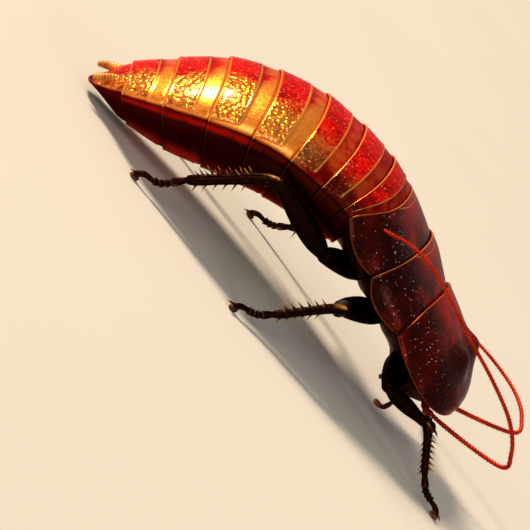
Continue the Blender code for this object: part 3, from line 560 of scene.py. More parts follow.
def body_ring(number):
    """One ring of the abdomen, from 7 at the tail to 1."""
    rear, front = SEAMS[8 - number], SEAMS[9 - number]
    length = front[0] - rear[0]
    rows = ring_rows(length)

    def place(v, u):
        kind, ahead, value = rows[round(v * (len(rows) - 1))]
        along = rear[0] + ahead
        if kind == "centre":
            return on_body(along, 0.0, CENTRE_HEIGHT), {"dark": 1.0}
        turn = ring_turn(u)
        flank = flank_at(turn)
        on_back = flank <= 1.0
        # painted shade on rows tucked under the next plate, painted highlight on the back's rim edge
        grow, marks = value, {"dark": 1.0, "line": 0.7 * (kind == "edge" and on_back)}
        if kind == "skin":
            grow, marks = ring_relief(value, flank), ring_marks(value, flank, TAIL_SHARE[number])
        corner = corner_between(rear, front, ahead / length)
        return (back_point if on_back else belly_point)(along, turn, grow, corner), marks

    return skin(f"ring_{number}", len(rows) - 1, RING_COLUMNS, place)


for number in range(7, 0, -1):
    ring = dress(body_ring(number), ABDOMEN, "abdomen", f"abdomen_{number}")
    print(ring.name, "vertices:", len(ring.data.vertices))

# %% [markdown]
# ## The tail's end
#
# A pointed plate ends the back, over the plate that closes the belly. It is the same kind of skin. Its rows
# come together in one point at the tip, and a fine groove crosses the back a third of the way forwards.

# %% Tail's end
# distance along the midline, and how much of the body's half width, rise and drop the section fills
TAIL_ROWS = (
    (5.4, 0.9, 0.9, 0.9), (4.7, 0.93, 0.93, 0.93), (4.1, 0.96, 0.95, 0.96), (3.4, 0.975, 0.9, 0.95),
    (2.8, 0.98, 0.82, 0.9), (2.2, 0.98, 0.68, 0.82), (1.7, 0.975, 0.56, 0.74), (1.2, 0.96, 0.45, 0.65),
    (0.8, 0.93, 0.37, 0.56), (0.4, 0.88, 0.31, 0.46), (0.1, 0.8, 0.26, 0.37), (-0.15, 0.67, 0.21, 0.28),
    (-0.32, 0.5, 0.15, 0.19), (-0.42, 0.28, 0.09, 0.1),
)
TAIL_FRONT, TAIL_POLE = 5.4, -0.46


def tail_place(v, u):
    """A point of the tail's end, from the centre of its front over its rows to the point at its tip."""
    k = round(v * (len(TAIL_ROWS) + 1))
    if k == 0 or k > len(TAIL_ROWS):
        return on_body(TAIL_FRONT if k == 0 else TAIL_POLE, 0.0, -0.1), {"dark": 0.9}
    along, wide, high, deep = TAIL_ROWS[k - 1]
    turn = ring_turn(u)
    flank = flank_at(turn)
    half_width = outline(HALF_WIDTH, along) * wide
    dark = 0.85 * ease(1.0, 0.0, along)
    if flank > 1.0:
        depth = (0.3 + outline(DROP, along)) * max(-sin(turn), 0.0) ** BELLY_POWER
        point = on_body(along, (half_width - 0.5 * wide) * cos(turn), -(0.3 + depth) * deep)
        return point, {"dark": max(0.95, dark)}
    share = max(along, 0.0) / TAIL_FRONT
    groove = bump(0.35, 0.04, share)
    notch = 0.35 * bump(0.0, 0.25, flank) * ease(1.6, 0.4, along)
    rise = outline(RISE, along) * high * arch(turn)
    shrink = 1.0 - 0.08 * groove
    return on_body(along + notch, half_width * shrink * cos(turn), rise * shrink), {
        "grain": ease(0.05, 0.2, share), "gold": 0.8 * ease(0.3, 0.7, flank), "dark": max(0.1, dark),
        "line": 0.5 * groove,
    }


dress(skin("tail_end", len(TAIL_ROWS) + 1, 120, tail_place), ABDOMEN, "tail", "abdomen_tip")
print("tail rows:", len(TAIL_ROWS))

# %% [markdown]
# ## The thorax plates
#
# Three plates cover the thorax. The two at the rear are curved shells with a drooping margin. Their skin
# runs over the outer face from the left margin to the right one, and back below, so that each plate has a
# real thickness, and the two faces meet at its rim. The shield over the head is the same kind of shell, with
# two low humps.

# %% Two rear plates
PLATE_STEPS, SHELL_COLUMNS = 48, 240
INNER = {"dark": 1.0}


def shell_turn(u):
    """The turn over a shell, out over the back and home below it, and whether this is the inner face."""
    return (pi * u * 2, False) if u <= 0.5 else (pi * (2 - 2 * u), True)


def plate_relief(share, flank):
    """How far a plate's outer face stands off the body's outline."""
    height = -0.34 + 0.14 * ease(1.1, 0.85, share) + 0.26 * ease(0.9, 0.1, share)
    return height + 0.06 * bump(0.02, 0.015, share) + 0.04 * bump(0.99, 0.008, flank)


def plate_marks(share, flank, double=0.8):
    """Dark mahogany, a painted red glow at the ridge, a gold rim doubled near it, a thin pale margin line."""
    rim = bump(0.007, 0.008, share) * (0.95 - 0.55 * ease(0.4, 1.0, flank))
    second = double * bump(0.17 * (1.0 - (flank / 0.5) ** 2), 0.01, share) * ease(0.5, 0.4, flank)
    return {
        "grain": 0.1 + 0.9 * bump(0.72, 0.2, flank) * ease(0.03, 0.08, share),
        # the red near the ridge is a painted glow of light
        "red": 0.85 * bump(0.15, 0.4, share) * ease(0.6, 0.15, flank),
        "dark": 0.1 + 0.7 * ease(0.25, 0.75, flank),
        "line": max(rim, second, 0.15 * bump(0.9985, 0.0012, flank)),
    }


def rear_plate(name, rear, front):
    """A plate between two seams. Its front goes on under the plate ahead, and its rows crowd at its rim."""
    length = front[0] - rear[0]
    shares = [1.0 + 1.1 / length, 1.0 + 0.6 / length]
    shares += [(x / PLATE_STEPS) ** 1.5 for x in range(PLATE_STEPS, -1, -1)]
    rim = len(shares) - 1

    def place(v, u):
        k = round(v * rim)
        share = shares[k]
        turn, inner = shell_turn(u)
        flank = abs(cos(turn))
        lobe = 0.95 * sin(pi * clamp(share)) ** 0.7
        grow = plate_relief(share, flank) - 0.1 * (k == rim)
        if inner and 0 < k < rim:
            grow -= 0.28 + 0.3 * ease(0.1, 0.3, share)
        point = back_point(rear[0] + length * share, turn, grow, corner_between(rear, front, share), lobe)
        return point, (INNER if inner else plate_marks(share, flank))

    return skin(name, rim, SHELL_COLUMNS, place)


REAR, MIDDLE, FRONT = SEAMS[8:11]
dress(rear_plate("rear_thorax_plate", REAR, MIDDLE), THORAX, "thorax_plate", "metanotum")
dress(rear_plate("middle_thorax_plate", MIDDLE, FRONT), THORAX, "thorax_plate", "mesonotum")
print("plates over mm:", round(MIDDLE[0] - REAR[0], 1), round(FRONT[0] - MIDDLE[0], 1))

# %% Shield over the head
SHIELD_LENGTH, SHIELD_WIDEST, SHIELD_HALF_WIDTH = 14.0, 5.0, 12.0
SHIELD_ROUND, SHIELD_STEPS = 2.3, 90
HUMP_AHEAD, HUMP_ASIDE, HUMP_WIDTH, HUMP_HEIGHT = 8.2, 3.4, 1.9, 1.25


def shield_point(share, turn, thick):
    """A point of the shield at a share of its length from its rear rim."""
    forward = SHIELD_LENGTH * share
    inside = forward * (1 - thick / SHIELD_LENGTH)
    ahead = max(forward - SHIELD_WIDEST, 0.0) / (SHIELD_LENGTH - SHIELD_WIDEST)
    behind = max(SHIELD_WIDEST - forward, 0.0) / SHIELD_WIDEST
    half_width = SHIELD_HALF_WIDTH * max(1 - ahead**SHIELD_ROUND, 0.0) ** (1 / SHIELD_ROUND)
    half_width -= (SHIELD_HALF_WIDTH - FRONT[HALF_WIDTH]) * behind**2
    rise = FRONT[RISE] * max(1 - share**3, 0.0) ** 0.6
    side = (half_width + 0.2 - thick) * cos(turn)
    height = (rise + 0.2 - thick) * arch(turn)
    for sign in SIDES.values():
        away = hypot(inside - HUMP_AHEAD, side - sign * HUMP_ASIDE)
        height += HUMP_HEIGHT * bump(0.0, HUMP_WIDTH, away)
    corner = FRONT[CORNER] * max(1 - forward / SHIELD_WIDEST, 0.0)
    return on_body(FRONT[0] + inside - corner * cos(turn) ** 4, side, height)


def shield_place(v, u):
    """A point of the shield's skin: its outer face with a raised rim, or its inner face below it."""
    share = 0.988 * sin(v * pi / 2) ** 1.1
    turn, inner = shell_turn(u)
    flank = abs(cos(turn))
    thick = -0.06 * bump(0.02, 0.012, share) - 0.05 * bump(0.985, 0.014, flank)
    if inner:
        thick = 0.35 + 0.2 * ease(0.0, 0.1, share)
    if v == 0.0:
        thick = 0.1
    marks = plate_marks(share * 2.2, flank, double=0.0)
    marks["grain"] *= 0.8 - 0.5 * ease(0.4, 0.8, share)
    return shield_point(share, turn, thick), (INNER if inner else marks)


dress(skin("shield", SHIELD_STEPS, SHELL_COLUMNS, shield_place), THORAX, "pronotum", "pronotum")
print("shield in mm:", SHIELD_LENGTH, "by", 2 * SHIELD_HALF_WIDTH)

# %% [markdown]
# ## The thorax below its plates
#
# The three segments that bear the legs are leathery boxes, narrower than the plates above. They show at the
# sides, between the legs and from below. Soft folds run round them, and sine waves of a tenth of a
# millimetre are enough for those.

# %% Thorax segments
# soft leathery skin scatters the light more than horn does, so it stays dull between the glossy plates
LEATHER = cuticle(
    "leathery_brown_membrane", "#2A0B06", "#47150A", "#8A4A1C", "#120504", "#6A3416",
    grain_mm=0.5, bump_mm=0.05, rough=0.36, metal=0.2,
)
GAP = 0.3
# rear end, front end, and the share of the body's width at each
CORES = {
    "metathorax": (REAR[0] - 2.2, MIDDLE[0] - GAP / 2, 0.8, 0.76),
    "mesothorax": (MIDDLE[0] + GAP / 2, FRONT[0] - GAP / 2, 0.76, 0.6992),
    "prothorax": (FRONT[0] + GAP / 2, FRONT[0] + 6.6, 0.616, 0.448),
}
CORE_BELOW_BACK, CORE_DEPTH = 1.55, 0.86


def core_place(v, u, rear, front, wide_rear, wide_front):
    """A point of a thorax segment's skin, between its rear end and its front end."""
    if v in (0.0, 1.0):
        return on_body(rear if v == 0 else front, 0.0, -1.5), {"dark": 1.0}
    share = clamp((v - 0.05) / 0.9)
    along = rear + (front - rear) * share
    turn = ring_turn(u)
    fold = -0.08 - 0.08 * cos(share * 4 * pi) * (sin(turn) < 0)
    half_width = outline(HALF_WIDTH, along) * (wide_rear + (wide_front - wide_rear) * share) + fold
    if sin(turn) >= 0:
        height = (outline(RISE, along) - CORE_BELOW_BACK + fold) * arch(turn)
        return on_body(along, half_width * cos(turn), height), {"dark": 0.6}
    depth = (outline(DROP, along) * CORE_DEPTH + fold) * -sin(turn)
    keel = 0.25 * bump(-1.0, 0.02, sin(turn)) * sin(share * pi)
    marks = {"dark": 0.3 + 0.5 * bump(0.0, 0.2, share) + 0.5 * bump(1.0, 0.2, share), "grain": 0.4}
    side = (half_width - BELLY_INSET) * cos(turn)
    return on_body(along, side, BELLY_TOP + 0.1 - depth - keel), marks


for name, ends in CORES.items():
    core = skin(f"{name}_skin", 24, 112, lambda v, u: core_place(v, u, *ends))
    dress(core, LEATHER, "thorax_core", name)
print("thorax segments:", list(CORES))

# %% [markdown]
# ## Paths for feelers, palps and legs
#
# A limb is a tube round a path, a smooth curve through a few points, and a short table or function gives its
# width along it. Both ends are rounded off to a point, so the merge closes them.

# %% Tubes round a path
CURVE_STEPS = 24


def curve_through(points, count):
    """Evenly spaced points of a smooth curve through the given ones."""
    padded = [points[0] * 2 - points[1], *points, points[-1] * 2 - points[-2]]
    dense = []
    for a, b, c, d in zip(padded, padded[1:], padded[2:], padded[3:]):
        for t in (k / CURVE_STEPS for k in range(CURVE_STEPS)):
            cubic = 2 * b + (c - a) * t + (2 * a - 5 * b + 4 * c - d) * t**2 + (3 * b - a - 3 * c + d) * t**3
            dense.append(cubic * 0.5)
    dense.append(points[-1])
    lengths = [0.0]
    for a, b in zip(dense, dense[1:]):
        lengths.append(lengths[-1] + (b - a).length)
    result, j = [], 0
    for k in range(count):
        goal = lengths[-1] * k / (count - 1)
        while j < len(dense) - 2 and lengths[j + 1] < goal:
            j += 1
        result.append(dense[j].lerp(dense[j + 1], clamp((goal - lengths[j]) / (lengths[j + 1] - lengths[j]))))
    return result


def off_path(path, k, up, radii, turn):
    """From a path's point to the tube's surface there, and the direction of the path."""
    last = len(path) - 1
    ahead = (path[min(k + 1, last)] - path[max(k - 1, 0)]).normalized()
    across = ahead.cross(up).normalized()
    wide, high = radii(k / last, turn)
    return across * wide * cos(turn) + across.cross(ahead) * high * sin(turn), ahead


def tube(name, path, sides, up, radii, marks, low=-100.0):
    """A tube round a path. radii(share, turn) gives half its width and half its height there."""
    last = len(path) - 1

    def place(v, u):
        k = round(v * last)
        turn = 2 * pi * u
        point = path[k] + off_path(path, k, up, radii, turn)[0] * (0 < k < last)
        point.z = max(point.z, low)
        return point, marks(k / last, turn)

    return skin(name, last, sides, place)


def round_tube(radius):
    """The half width and half height of a round tube, from its radius at a share of its length."""
    return lambda share, turn: (radius(share), radius(share))


def rounded(share, tip):
    """The share of its full width that a tube has where the last part of its length is round."""
    edge = min(share, 1 - share) / tip
    return sqrt(max(1 - (1 - edge) ** 2, 0.0)) if edge < 1 else 1.0


def bead(phase, power):
    """Beads in a row, 0 where two of them meet and 1 in the middle. The phase grows by 1 with each."""
    return sin(pi * (phase % 1.0)) ** power


print("points of a test curve:", len(curve_through([UP * 0, UP, UP * 3], 9)))

# %% [markdown]
# ## Bristles and spines
#
# Feelers, palps and shins carry hundreds of short hairs. One hair is modelled, a slim cone with a slight
# bend, and each copy gets a mesh of its own, turned, stretched and moved to its root. They are joined to the
# limb, so that it stays one piece.

# %% One hair, many copies
def spike_place(v, u):
    """A slim cone of height 1 on the origin, which bends a little. Its tip is golden."""
    wide = 0.0 if v in (0.0, 1.0) else (1.0 - v) ** 0.8
    turn = 2 * pi * u
    point = Vector((wide * cos(turn), wide * sin(turn) + 1.2 * v * v, max(v * 1.1 - 0.1, 0.0)))
    return point, {"gold": ease(0.35, 1.0, v), "dark": 0.5 * (1 - v)}


HAIR = skin("hair_model", 5, 4, spike_place, Vector())
SPINE = skin("spine_model", 10, 8, spike_place, Vector())
# the turn from one hair to the next, how far out its root sits, and how near the floor its tip may come
HAIR_TURN, ROOT_SHARE, FLOOR_CLEARANCE = 2.4, 0.85, 0.1


def planted(model, roots):
    """Copies of a model, each with its own mesh. A root is a point, a direction, a length and a radius."""
    copies = []
    for point, direction, length, radius in roots:
        turned = direction.to_track_quat("Z", "Y").to_matrix().to_4x4()
        twin = model.copy()
        twin.data = model.data.copy()
        bpy.context.scene.collection.objects.link(twin)
        place = Matrix.Translation((point - BOX_MIDDLE) * MM)
        twin.data.transform(place @ turned @ Matrix.Diagonal((radius, radius, length, 1.0)))
        copies.append(twin)
    return copies


def downy_tube(name, path, sides, up, radii, marks, hairs, low=-100.0):
    """A tube with short hairs, sunk in its surface. Those that would touch the floor are left out."""
    # the first and last share of the path that they cover, and how much they stand up rather than lean
    count, first, last, length, thick, stand = hairs
    piece = tube(name, path, sides, up, radii, marks, low)
    roots = []
    for n in range(count):
        k = round((len(path) - 1) * (first + (last - first) * n / count))
        off, ahead = off_path(path, k, up, radii, HAIR_TURN * n)
        direction = (off.normalized() * stand + ahead).normalized()
        reach = length * random.uniform(0.8, 1.2)
        root = path[k] + off * ROOT_SHARE
        if (root + direction * reach).z > FLOOR_CLEARANCE:
            roots.append((root, direction, reach, thick))
    return join(piece, planted(HAIR, roots), name)


random.seed(7)
print("triangles of a hair:", 2 * len(HAIR.data.polygons))

# %% [markdown]
# ## Head
#
# The head hangs below the shield with the mouth down. Its face is a smooth pear shape: a broad crown, a
# narrower mouth, a shallow groove above the lip, and a pale eye spot beside each feeler's root. The rings of
# the CAD head give its width and depth at nine levels, and the skin between them adds the grooves.

# %% Head
# height below the head's middle, half width, depth in front, depth behind
HEAD_RINGS = (
    (-3.6, 1.3, 0.7, 0.7), (-3.1, 2.3, 1.35, 1.15), (-2.2, 3.0, 1.95, 1.5), (-1.0, 3.3, 2.3, 1.7),
    (0.4, 3.15, 2.3, 1.7), (1.7, 2.6, 2.05, 1.6), (2.8, 2.05, 1.75, 1.4), (3.7, 1.6, 1.35, 1.2),
    (4.5, 1.1, 0.8, 0.9),
)
HEAD_ALONG, HEAD_HEIGHT, HEAD_TILT = 61.0, -1.9, radians(24.0)
LIP_GROOVE = 2.75
SPOT_ASIDE, SPOT_BELOW = 1.75, -1.75
# smooth horn like polished wood: an even brown with soft highlights, and dark at the crown
FACE = cuticle(
    "polished_brown_face_cuticle", "#240905", "#5A1D0E", "#B06A2A", "#0B0303", "#E8C892",
    grain_mm=0.5, bump_mm=0.03, rough=0.2, metal=0.2,
)
body_forward, head_left, body_up = body_axes(HEAD_ALONG)
head_front = body_forward * cos(HEAD_TILT) - body_up * sin(HEAD_TILT)
head_down = -body_up * cos(HEAD_TILT) - body_forward * sin(HEAD_TILT)
head_middle = on_body(HEAD_ALONG, 0.0, HEAD_HEIGHT)


def in_head(ahead, side, below):
    """A point in the head: ahead of its middle, to the left of it, and below it."""
    return head_middle + head_front * ahead + head_left * side + head_down * below


def head_place(v, u):
    """A point of the head's skin, from the crown to the mouth."""
    top, bottom = HEAD_RINGS[0][0], HEAD_RINGS[-1][0]
    below = top + (bottom - top) * clamp((v - 0.02) / 0.96)
    if v in (0.0, 1.0):
        return in_head(0.0, 0.0, below + (0.12 if v else -0.12)), {"dark": 0.6}
    half_width, ahead, behind = (smooth_table(HEAD_RINGS, c, below) for c in (1, 2, 3))
    turn = 2 * pi * u
    front = max(cos(turn), 0.0)
    side = half_width * sin(turn)
    relief = -0.12 * bump(LIP_GROOVE, 0.1, below) * ease(0.2, 0.6, front)
    relief += 0.12 * bump(0.9, 1.1, below) * front * front
    relief -= 0.07 * bump(0.0, 0.1, side) * ease(0.0, -0.6, below) * front
    relief -= 0.1 * bump(0.62, 0.06, sin(turn) ** 2) * ease(-0.5, 0.8, below) * front
    depth = (ahead if cos(turn) > 0 else behind) + relief
    spot = bump(0.0, 0.3, hypot(abs(side) - SPOT_ASIDE, below - SPOT_BELOW)) * (cos(turn) > 0)
    marks = {
        "dark": 0.75 * ease(0.4, -2.4, below) + 0.5 * bump(LIP_GROOVE, 0.12, below) * front,
        "gold": 0.4 * ease(2.9, 3.3, below) * front,
        "line": min(spot * 1.6, 1.0),
    }
    return in_head(depth * cos(turn), side + relief * sin(turn), below), marks


def plain(x, y, z):
    """An egg's point as it is, with no marks."""
    return x, y, z, {}


def egg(name, middle, axes, rows, columns, shape=plain):
    """A closed egg with three half axes, as the start of a small rounded part."""

    def place(v, u):
        polar, turn = pi * v, 2 * pi * u
        x, y, z, marks = shape(sin(polar) * cos(turn), sin(polar) * sin(turn), cos(polar))
        return middle + axes[0] * x + axes[1] * y + axes[2] * z, marks

    return skin(name, rows, columns, place)


def head_egg(name, place, sizes, rows, columns, shape):
    """An egg in the head, with its half sizes ahead, sideways and down."""
    axes = [axis * size for axis, size in zip((head_front, head_left, head_down), sizes)]
    return egg(name, in_head(*place), axes, rows, columns, shape)


def socket_ring(sign):
    """The raised rim round a feeler's root."""
    middle = in_head(1.62, sign * 1.95, -0.6)
    out = (head_front * 1.3 + head_left * sign * 0.9).normalized()
    side = out.cross(head_down).normalized()
    rim = 0.16

    def place(v, u):
        around, across = 2 * pi * v, 2 * pi * u
        radial = side * cos(around) + head_down * sin(around)
        reach = 0.72 + rim * cos(across)
        return middle + radial * reach + out * rim * sin(across), {"line": 0.35, "dark": 0.3}

    return skin("socket", 28, 10, place)


head = skin("head_skin", 60, 84, head_place)
join(head, [socket_ring(sign) for sign in SIDES.values()], "head_skin")
dress(head, FACE, "head", "head")
print("head in mm:", [round(v / MM, 1) for v in head.dimensions])

# %% [markdown]
# ## Mouth
#
# Below the face hangs the lip, a rounded flap with a small notch, and the jaws close from left and right
# beside it. They are the hardest part of the animal, nearly black, with blunt teeth that meet in the middle.

# %% Lip and jaws
# horn this hard is almost black, and only small sharp highlights show its form
JAW = cuticle(
    "black_hardened_jaw", "#0E0403", "#2A0D07", "#6A3A18", "#050202", "#3A1A0C",
    grain_mm=0.4, bump_mm=0.02, rough=0.18, metal=0.1,
)


def lip_shape(x, y, z):
    """Flat at its back, and notched in the middle of its lower edge."""
    notch = 0.22 * bump(0.0, 0.25, y) * ease(0.3, 1.0, z)
    return x * (1.0 if x > 0 else 0.6), y, z - notch, {"gold": 0.35 * ease(-0.2, 0.8, z), "dark": 0.3}


def jaw_shape(x, y, z):
    """A wedge with three teeth on its inner edge."""
    teeth = 0.16 * sin(z * 9.0) * ease(0.2, 0.9, -y) * ease(-0.3, 0.4, z)
    return x * (1.0 - 0.25 * ease(0.0, 1.0, z)), y + teeth, z, {"dark": 0.6 * ease(-0.4, 0.6, z)}


dress(head_egg("lip", (1.1, 0.0, 4.2), (0.45, 0.95, 0.95), 24, 32, lip_shape), FACE, "head")
for name, sign in SIDES.items():
    jaw = head_egg(f"jaw_{name}", (0.5, sign * 1.35, 3.6), (0.85, 0.6 * sign, 1.1), 28, 32, jaw_shape)
    dress(jaw, JAW, "head")
print("mouth parts: lip, jaw_left, jaw_right")

# %% [markdown]
# ## Eyes
#
# A compound eye has some two thousand facets, each about 0.03 mm wide. That is too fine for the picture, so
# they are drawn 0.14 mm wide. The eye is a kidney that wraps the side of the head, and its front edge is
# hollowed where the feeler's root sits. A clear hard coat gives it one sharp highlight.

# %% Eyes
FACET_MM, FACET_HEIGHT_MM = 0.14, 0.02
EYE, tree, shader = new_material("black_faceted_eye")
where = add(tree, "TexCoord").outputs["Object"]
facets = add(tree, "TexVoronoi", {"Vector": where, "Scale": PER_MM / FACET_MM, "Randomness": 0.35})
domes = add(tree, "MapRange", (facets.outputs["Distance"], 0.0, 0.6, 1.0, 0.0))
depths = add(tree, "TexNoise", {"Vector": where, "Scale": 0.9 * PER_MM, "Detail": 2.0})
colour = add(tree, "Mix", {0: depths, 6: linear("#0B0504"), 7: linear("#2E120B")}, data_type="RGBA")
seams = add(tree, "MapRange", (facets.outputs["Distance"], 0.4, 0.62, 0.0, 0.8))
colour = add(tree, "Mix", {0: seams, 6: colour, 7: linear("#050202")}, data_type="RGBA")
relief = add(tree, "Bump", {"Height": domes, "Distance": FACET_HEIGHT_MM * MM})
feed(tree, shader, {
    "Base Color": colour, "Normal": relief, "Roughness": 0.3, "Metallic": 0.8,
    "Specular Tint": linear("#A87860"), "Coat Weight": 0.15, "Coat Roughness": 0.08,
})


def kidney(x, y, z):
    """Hollowed at the front, below the middle."""
    return x - 0.3 * bump(0.25, 0.4, z) * ease(0.1, 0.9, x), y, z, {}


for name, sign in SIDES.items():
    sizes = (0.99, 0.74 * sign, 1.53)
    eye = head_egg(f"compound_eye_{name}", (0.35, sign * 2.95, -1.5), sizes, 40, 48, kidney)
    dress(eye, EYE, "eye", f"eye_{name}")
print("eyes:", list(SIDES))

# %% [markdown]
# ## Feelers
#
# Each feeler starts with a thick first joint and a short second one, and goes on as a whip of more than a
# hundred beads, orange-red and set with short hairs. The right one lies back over the thorax plates, as in
# the photograph, and the left one along the other side in the same way.

# %% Feelers
# thin horn lets the light through, so the whip glows orange-red and its joints stay dark
FEELER = cuticle(
    "orange_red_feeler_cuticle", "#A01404", "#C8240A", "#F0883A", "#3C0803", "#F09A5A",
    grain_mm=0.25, bump_mm=0.03, rough=0.34, metal=0.15, sheen="#FFA862",
)
FEELER_BENDS = {
    "left": (
        (46.6, 4.6, 9.6), (47.2, 8.2, 11.2), (45.2, 12.6, 12.0), (41.0, 16.2, 12.0),
        (35.6, 18.6, 11.4), (30.0, 20.2, 10.4), (24.8, 21.0, 9.2),
    ),
    "right": (
        (44.6, -8.8, 8.3), (43.6, -11.6, 11.0), (39.8, -13.5, 13.8), (34.4, -14.3, 15.7),
        (28.0, -14.5, 17.2), (21.1, -14.5, 19.0), (16.2, -14.5, 19.35), (11.9, -14.4, 18.05),
    ),
}
FIRST_JOINT, TWO_JOINTS = 2.3, 3.1
BEAD_MM, ROWS_PER_BEAD = 0.42, 5


def feeler_radius(along, share):
    """The feeler's radius: a thick first joint, a short second one, and then beads."""
    if along < FIRST_JOINT:
        return 0.3 + 0.24 * sin(pi * min(along / FIRST_JOINT, 1.0)) ** 0.5
    if along < TWO_JOINTS:
        return 0.3 + 0.1 * sin(pi * (along - FIRST_JOINT) / (TWO_JOINTS - FIRST_JOINT))
    beads = 0.72 + 0.28 * bead((along - TWO_JOINTS) / BEAD_MM, 0.6)
    return 0.32 * (1 - 0.45 * share) * beads * rounded(share, 0.004)


def feeler(name, sign):
    """One feeler, from its socket along its bends."""
    points = [in_head(1.1, sign * 1.6, -0.6), in_head(3.0, sign * 2.8, -0.6)]
    points += [Vector(p) for p in FEELER_BENDS[name]]
    rough = curve_through(points, 80)
    reach = sum((b - a).length for a, b in zip(rough, rough[1:]))
    path = curve_through(points, round(reach / BEAD_MM) * ROWS_PER_BEAD + 1)
    radii = round_tube(lambda share: feeler_radius(share * reach, share))

    def marks(share, turn):
        joint = 1.0 - bead((share * reach - TWO_JOINTS) / BEAD_MM, 0.4)
        return {"dark": max(0.85 * ease(0.09, 0.02, share), 0.9 * joint)}

    hairs = (len(path) - 50, 0.09, 0.99, 0.3, 0.035, 2.0)
    whip = downy_tube(f"feeler_{name}", path, 12, -head_down, radii, marks, hairs)
    dress(whip, FEELER, "feeler", f"antenna_{name}")
    print(whip.name, "mm long:", round(reach), "beads:", round((reach - TWO_JOINTS) / BEAD_MM))


for name, sign in SIDES.items():
    feeler(name, sign)

# %% [markdown]
# ## Palps
#
# Two pairs of small feelers hang beside the mouth and taste the food. Each is a short row of joints, and its
# last joint is pale and downy.

# %% Palps
# horn under fine down, which softens its gloss
PALP = cuticle(
    "downy_brown_palp_cuticle", "#3A120A", "#6E2A12", "#C08040", "#170604", "#C89A5A",
    grain_mm=0.3, bump_mm=0.03, rough=0.4, metal=0.1,
)
# bends in the head, radius, joints
PALPS = {
    "maxillary": (((0.5, 1.75, 2.6), (1.5, 3.2, 3.6), (2.3, 3.7, 5.0), (1.6, 3.2, 6.2)), 0.33, 4),
    "labial": (((-0.5, 0.85, 4.0), (-0.9, 1.4, 5.0), (-0.7, 1.2, 6.0)), 0.28, 3),
}
PALP_HAIRS = (40, 0.35, 0.95, 0.26, 0.022, 1.2)


def palp(kind, name, sign):
    """One palp, from the side of the mouth along its bends."""
    bends, radius, joints = PALPS[kind]
    path = curve_through([in_head(a, sign * s, b) for a, s, b in bends], 61)

    def palp_radius(share):
        swollen = 1.0 + 0.1 * ease(0.75, 0.9, share)
        return radius * (0.74 + 0.26 * bead(share * joints, 0.5)) * swollen * rounded(share, 0.05)

    def marks(share, turn):
        return {"dark": 0.4 * (1.0 - bead(share * joints, 0.4)), "gold": 0.6 * ease(0.72, 0.95, share)}

    radii = round_tube(palp_radius)
    piece = downy_tube(f"{kind}_palp_{name}_skin", path, 16, head_left, radii, marks, PALP_HAIRS)
    dress(piece, PALP, "palp", f"{kind}_palp_{name}")


for kind in PALPS:
    for name, sign in SIDES.items():
        palp(kind, name, sign)
print("palps:", list(PALPS))

# %% [markdown]
# ## Tail feelers
#
# Two short feelers with blunt tips stand at the tail's end. They are amber and downy, and feel the air
# behind the animal.

# %% Tail feelers
# thin amber horn under fine down, brighter and more golden towards the tip
CERCUS = cuticle(
    "amber_tail_feeler_cuticle", "#A04A14", "#DC8428", "#F2B04A", "#5A2408", "#F4C880",
    grain_mm=0.3, bump_mm=0.03, rough=0.34, metal=0.2,
)
CERCUS_ALONG, CERCUS_ASIDE, CERCUS_HEIGHT = 3.4, 2.6, 0.7
CERCUS_LENGTH, CERCUS_RADIUS, CERCUS_BEADS, CERCUS_STEPS = 3.1, 0.62, 9, 72
CERCUS_HAIRS = (60, 0.3, 0.97, 0.35, 0.025, 1.2)


def cercus_radius(share):
    """Beads on a spindle that narrows towards its tip."""
    beads = 0.86 + 0.14 * bead(share * CERCUS_BEADS, 0.5)
    return CERCUS_RADIUS * beads * (1 - 0.55 * share * share) * rounded(share, 0.08)


def cercus_marks(share, turn):
    """Darker between the beads, and golden towards the tip."""
    dark = 0.35 * (1.0 - bead(share * CERCUS_BEADS, 0.4))
    return {"dark": dark, "gold": 0.3 + 0.5 * share, "grain": 0.2}


forward, left, up = body_axes(CERCUS_ALONG)
radii = round_tube(cercus_radius)
for name, sign in SIDES.items():
    root = on_body(CERCUS_ALONG, sign * CERCUS_ASIDE, CERCUS_HEIGHT)
    bend = left * sign * 0.28 + up * 0.26 - forward
    reaches = [CERCUS_LENGTH * k / CERCUS_STEPS for k in range(CERCUS_STEPS + 1)]
    path = [root + bend * reach - up * 0.05 * reach**2 for reach in reaches]
    piece = downy_tube(f"tail_feeler_{name}", path, 20, up, radii, cercus_marks, CERCUS_HAIRS)
    dress(piece, CERCUS, "cercus", f"cercus_{name}")
print("tail feelers in mm:", CERCUS_LENGTH)

# %% [markdown]
# ## Legs
#
# Each leg has a broad flat hip joint, a stout thigh, a shin with three rows of spines, and a foot of five
# beads that ends in two claws and a soft pad. The joints' places are the CAD model's. A thigh is deeper than
# it is wide, a shin bows near the knee, and a shallow groove along the hip joint's outer face takes the
# thigh when the leg folds.

# %% Measures of the legs
# thick horn, nearly black: thin highlights show along it, and a golden one is painted on the shin by the knee
LEG = cuticle(
    "glossy_black_brown_leg_cuticle", "#120503", "#2A0C06", "#FFB04A", "#170805", "#9A6438",
    grain_mm=0.5, bump_mm=0.03, rough=0.24, metal=0.7, sheen="#7A4028",
)
# thorax segment, how far along the body and beside its middle the hips are, and the size of the legs
LEG_PAIRS = {
    "hind": ("metathorax", 43.9, 3.6, 1.0),
    "middle": ("mesothorax", 50.1, 3.4, 0.86),
    "front": ("prothorax", 57.0, 2.4, 0.72),
}
